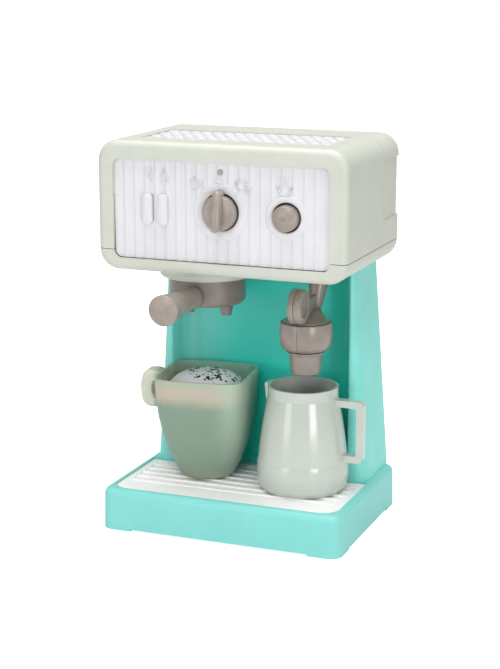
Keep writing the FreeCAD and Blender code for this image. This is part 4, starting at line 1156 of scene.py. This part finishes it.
@dataclass
class SteamWand:
    """Wand: barrel collar, slanted shoulder, ring disc and curved arm, in two halves."""

    x: float = 43.6
    y: float = -2.0
    collar: Profile = (
        (0, 156.2), (17.2, 156.2), (17.6, 155.9), (17.7, 155.3), (18.6, 155.2), (19, 154.7),
        (19.5, 151.5), (19.8, 147.5), (19.7, 143.5), (19.2, 139.8), (18.4, 137.2), (17.2, 135.4),
        (15.8, 134.6), (14.6, 134.4), (14.4, 133.6), (14, 133.2), (13.9, 131.9), (13.5, 131.5),
        (0, 131.5))
    # Radius, height and distance back of each level.
    shoulder: tuple[Spot, ...] = ((17.2, 155.8, 0), (15.4, 157, 1.6), (11.6, 158.8, 6),
                                  (7.6, 160.6, 11.6), (5.4, 162.6, 16))
    shoulder_steps: int = 64
    # The upper half of the disc's profile, from its middle plane to its face.
    disc: Profile = ((12.8, 0.25), (12.8, 3.7), (12.4, 4.6), (11.4, 5), (8.3, 5), (7.9, 4.6),
                     (7.7, 3.3), (7.4, 3), (0, 3))
    disc_seam: Pair = (12.5, 0.0)
    disc_spot: Pair = (-18.0, 169.5)
    web: Spot = (4.4, 34.0, 13.0)
    web_spot: Pair = (1.0, 165.5)
    # Distance back, height and radius along the arm.
    arm: tuple[Spot, ...] = (
        (31, 203, 9.4), (31, 197, 9.4), (28.8, 190, 9), (25.6, 181, 8),
        (22.4, 172, 6.2), (19.6, 164, 5), (15.6, 158.5, 4.6), (11, 155, 4.6))
    # Radius, lower and upper face of the painted shade rings in the gaps.
    gaps: tuple[Spot, ...] = ((17.86, 155.2, 155.75), (14.75, 133.6, 134.35))
    gap_deep: float = 0.8

    def build(self, dresser: Dresser) -> None:
        """Make the wand and the painted shade in its gaps.

        Args:
            dresser: what holds the finishes.
        """
        place = shift(self.x, self.y)
        mould = Mould("wand")
        mould.add(lathe(self.collar), place)
        turns = [tau * k / self.shoulder_steps for k in range(self.shoulder_steps)]
        mould.add(tower([[(radius * cos(a), back + radius * sin(a), height)
                          for a in turns] for radius, height, back in self.shoulder]), place)
        under = [(radius, -height) for radius, height in reversed(self.disc)]
        mould.add(lathe([*under, self.disc_seam, *self.disc], 80),
                  shift(self.x, *self.disc_spot) @ Matrix.Rotation(radians(90), 4, "Y"))
        mould.add(block(self.web, (self.x, *self.web_spot), 1.2, 3))
        swept = bmesh.new()
        sweep(swept, [(self.x, y, z) for y, z, _ in self.arm], 1.0, 10,
              tuple(radius for _, _, radius in self.arm), flowing=True)
        mould.add(swept)
        mould.finish(dresser, Stuff.TAUPE_JOINED, "wand", "taupe_plastic",
                     "wand_left_half", "wand_right_half", crease=28.0)
        self.paint_crease_shade(dresser)

    def paint_crease_shade(self, dresser: Dresser) -> None:
        """Paint the shade in the gaps between shoulder, collar and nozzle with dark rings.

        Args:
            dresser: what holds the finishes.
        """
        mould = Mould("wand_gap_shade")
        for radius, low, high in self.gaps:
            mould.add(band(radius - self.gap_deep, radius, low, high), shift(self.x, self.y))
        mould.finish(dresser, Stuff.SHADOW, "wand", "taupe_plastic")


@dataclass(frozen=True)
class Stroke:
    """One raised line of a sign on the panel, in panel millimetres."""

    points: list[Pair]
    closed: bool = False
    width: float = 0.42


@dataclass
class PanelSigns:
    """Raised signs moulded on the control panel: heat, water, cups and steam."""

    face: float = PANEL
    rise: float = 1.25  # how much higher than wide a line stands
    swell: float = 1.4  # a line's half width, as a share of its drawn width
    # Place, height, half width and side of the cups; the last has no drops and no tick.
    cups: tuple[tuple[float, float, float, int], ...] = (
        (-19.4, 263.6, 3.6, -1), (16.2, 264.4, 3.2, 1), (21.6, 260.4, 2.4, 1))

    def thermometer(self, x: float = -54.8, low: float = 263.0) -> list[Stroke]:
        """Draw the outline of a thermometer with its column."""
        tube = arc((x, 269.0), 1.7, 0, 180, 8) + arc((x, low), 2.9, 126, 414, 14)
        return [Stroke(tube, True), Stroke([(x, 267.6), (x, 263.2)], width=0.5)]

    def drop(self, x: float = -42.6, low: float = 263.6) -> list[Stroke]:
        """Draw the outline of a drop of water."""
        return [Stroke([(x, 270.0)] + arc((x, low), 3.1, 28, -208, 14), True),
                Stroke(arc((x, low), 1.5, -80, 40, 6), width=0.3)]

    def ring(self, x: float = -0.6) -> list[Stroke]:
        """Draw a small ring and a line that lead from the lamp to the knob."""
        return [Stroke(arc((x, 265.0), 2.2, 0, 342, 18), True),
                Stroke([(x, 261.8), (x, 258.4)])]

    def cup(self, x: float, z: float, size: float, side: int) -> list[Stroke]:
        """Draw a cup with a handle, drops and a tick towards the knob.

        Args:
            x: its middle across the panel.
            z: its rim.
            size: half its width.
            side: 1 or -1, the side of the handle and of the tick.

        Returns:
            Its strokes.
        """
        foot = z - size * 0.9
        bowl = [(x - size, z), (x - size * 0.8, foot), *arc((x, foot), size * 0.8, 180, 360, 8),
                (x + size, z)]
        ear = (x - side * size * 1.15, z - size * 0.5)
        handle = arc(ear, size * 0.45, 90 * side, 90 * side + 180, 8)
        tick = Stroke([(side * 11.2, 254.2), (side * 14.0, 257.4)])
        fall = [Stroke([(x + off, z + 2.4), (x + off, z - 0.6)], width=0.35)
                for off in (-0.9, 0.9)]
        return [Stroke(bowl, True), Stroke(handle), tick, *fall]

    def steam(self, x: float = 47.8) -> list[Stroke]:
        """Draw three rising lines over a wide bowl with two leaves of steam.

        Args:
            x: their middle across the panel.

        Returns:
            Their strokes.
        """
        lines = [Stroke([(x + k * 2.1, 268.8 - abs(k) * 0.6), (x + k * 1.9, 262.8)], width=0.5)
                 for k in (-1, 0, 1)]
        bowl = [(x - 3.6, 261.5), *arc((x, 260.4), 4.0, 195, 345, 10), (x + 3.6, 261.5)]
        leaf = ((4.4, 258.6), (6.6, 261.0), (6.4, 263.6), (4.4, 261.6))
        leaves = [Stroke([(x + side * out, z) for out, z in leaf], width=0.4)
                  for side in (-1, 1)]
        return [*lines, Stroke(bowl), *leaves]

    def build(self, dresser: Dresser) -> None:
        """Make all signs as one moulded piece on the panel.

        Args:
            dresser: what holds the finishes.
        """
        left, right, small = (self.cup(*cup) for cup in self.cups)
        strokes = [*self.thermometer(), *self.drop(), *self.ring(), *left, *right, *small[:2],
                   *self.steam()]
        place = shift(0.0, self.face) @ Matrix.Diagonal((1, self.rise, 1, 1))
        mould = Mould("panel_signs")
        for stroke in strokes:
            path = [(x, 0.0, z) for x, z in stroke.points]
            sweep(mould.form, path, stroke.width * self.swell, 3, closed=stroke.closed,
                  place=place)
        bmesh.ops.recalc_face_normals(mould.form, faces=mould.form.faces)
        mould.finish(dresser, Stuff.WHITE_PANEL, "machine", "white_panel", crease=180.0)


# Studio

@dataclass(frozen=True)
class Lamp:
    """A square soft lamp, in metres and watts."""

    name: str
    spot: Spot
    aim: Spot
    size: float
    power: float

    def build(self) -> None:
        """Hang the lamp and aim it."""
        data = bpy.data.lights.new(self.name, "AREA")
        data.shape = "SQUARE"
        data.size = self.size
        data.energy = self.power
        lamp = stand(self.name, data)
        lamp.location = self.spot
        aim = Vector(self.spot) - Vector(self.aim)
        lamp.rotation_euler = aim.to_track_quat("Z", "Y").to_euler()


@dataclass
class Studio:
    """Pale floor, soft lights and the camera."""

    camera_mm: Spot = (439.6, -1118.3, 422.1)
    azimuth: float = 21.52
    elevation: float = 13.16
    lens: float = 89.0
    sensor: float = 36.0
    floor_half: float = 3.0
    paper: Pair = (0.85, 0.88)
    fibre_mm: float = 1.1111
    glow: float = 0.8
    fill: float = 0.44
    lamps: tuple[Lamp, ...] = (
        Lamp("Left", (-0.75, -1.7, 0.3), (0.0, 0.0, 0.12), 0.6, 3.0),
        Lamp("Right", (1.4, -1.2, 0.36), (0.0, 0.0, 0.15), 0.6, 7.6),
        Lamp("Front", (0.15, -1.1, 1.0), (0.0, 0.0, 0.1), 0.5, 3.2),
        Lamp("Top", (0.0, -0.1, 1.7), (0.0, 0.0, 0.1), 1.2, 24.0))

    def camera(self) -> None:
        """Set up the camera at the photograph's angle."""
        data = bpy.data.cameras.new("Camera")
        data.lens = self.lens
        data.sensor_width = self.sensor
        camera = stand("Camera", data)
        camera.location = Vector(self.camera_mm) * MM
        az, el = radians(self.azimuth), radians(self.elevation)
        back = Vector((sin(az) * cos(el), -cos(az) * cos(el), sin(el)))
        camera.rotation_euler = back.to_track_quat("Z", "Y").to_euler()
        bpy.context.scene.camera = camera

    def floor(self) -> None:
        """Lay the pale floor, white to the camera."""
        mesh = bmesh.new()
        bmesh.ops.create_grid(mesh, x_segments=1, y_segments=1, size=self.floor_half)
        data = bpy.data.meshes.new("studio_floor")
        mesh.to_mesh(data)
        mesh.free()
        floor = stand("studio_floor", data)
        material, tree, place = blank("Seamless paper, white")
        fibre = add_node(tree, "TexNoise", Vector=place, Scale=1 / (self.fibre_mm * MM),
                         Detail=2.0)
        tone = add_node(tree, "MapRange", Value=fibre, To_Min=self.paper[0],
                        To_Max=self.paper[1])
        paper = add_node(tree, "BsdfDiffuse", Color=tone)
        glow = add_node(tree, "Emission", Color=WHITE, Strength=self.glow)
        seen = add_node(tree, "LightPath").outputs["Is Camera Ray"]
        both = add_node(tree, "AddShader", i0=paper, i1=glow)
        mix = add_node(tree, "MixShader", Fac=seen, i1=paper, i2=both)
        add_node(tree, "OutputMaterial", Surface=mix)
        data.materials.append(material)

    def world(self) -> None:
        """Fill with even light and show white behind."""
        world = bpy.data.worlds.new("Studio")
        bpy.context.scene.world = world
        world.use_nodes = True
        tree = world.node_tree
        tree.nodes.clear()
        rays = add_node(tree, "LightPath").outputs
        seen = add_node(tree, "Math", {"operation": "MAXIMUM"}, i0=rays["Is Camera Ray"],
                        i1=rays["Is Transmission Ray"])
        fill = add_node(tree, "Background", Color=WHITE, Strength=self.fill)
        white = add_node(tree, "Background", Color=WHITE, Strength=1.0)
        mix = add_node(tree, "MixShader", Fac=seen, i1=fill, i2=white)
        add_node(tree, "OutputWorld", Surface=mix)

    def build(self) -> None:
        """Set up everything round the toy."""
        self.camera()
        self.floor()
        self.world()
        for lamp in self.lamps:
            lamp.build()
        bpy.context.scene.view_settings.view_transform = "Standard"


def main() -> None:
    """Build the looks of the toy in order."""
    logging.basicConfig(level=logging.INFO, format="%(name)s: %(message)s")
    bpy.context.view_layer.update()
    dresser = Dresser()
    for stuff, names in PACKED.items():
        dresser.dress(stuff, *names)
    LOG.info("dressed %d nodes", len(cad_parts))
    for part in (ColumnShell(), Mug(), PretendDrink(),
                 LightPill("temperature_pill", "temperature_light", -55.4),
                 LightPill("water_pill", "water_light", -43.5),
                 SelectorKnob(), SteamButton(), DialSeats(), WindowShadeLine(), WarmerGrille(),
                 SteamWand(), PanelSigns()):
        part.build(dresser)
    Studio().build()


if __name__ == "__main__":
    main()
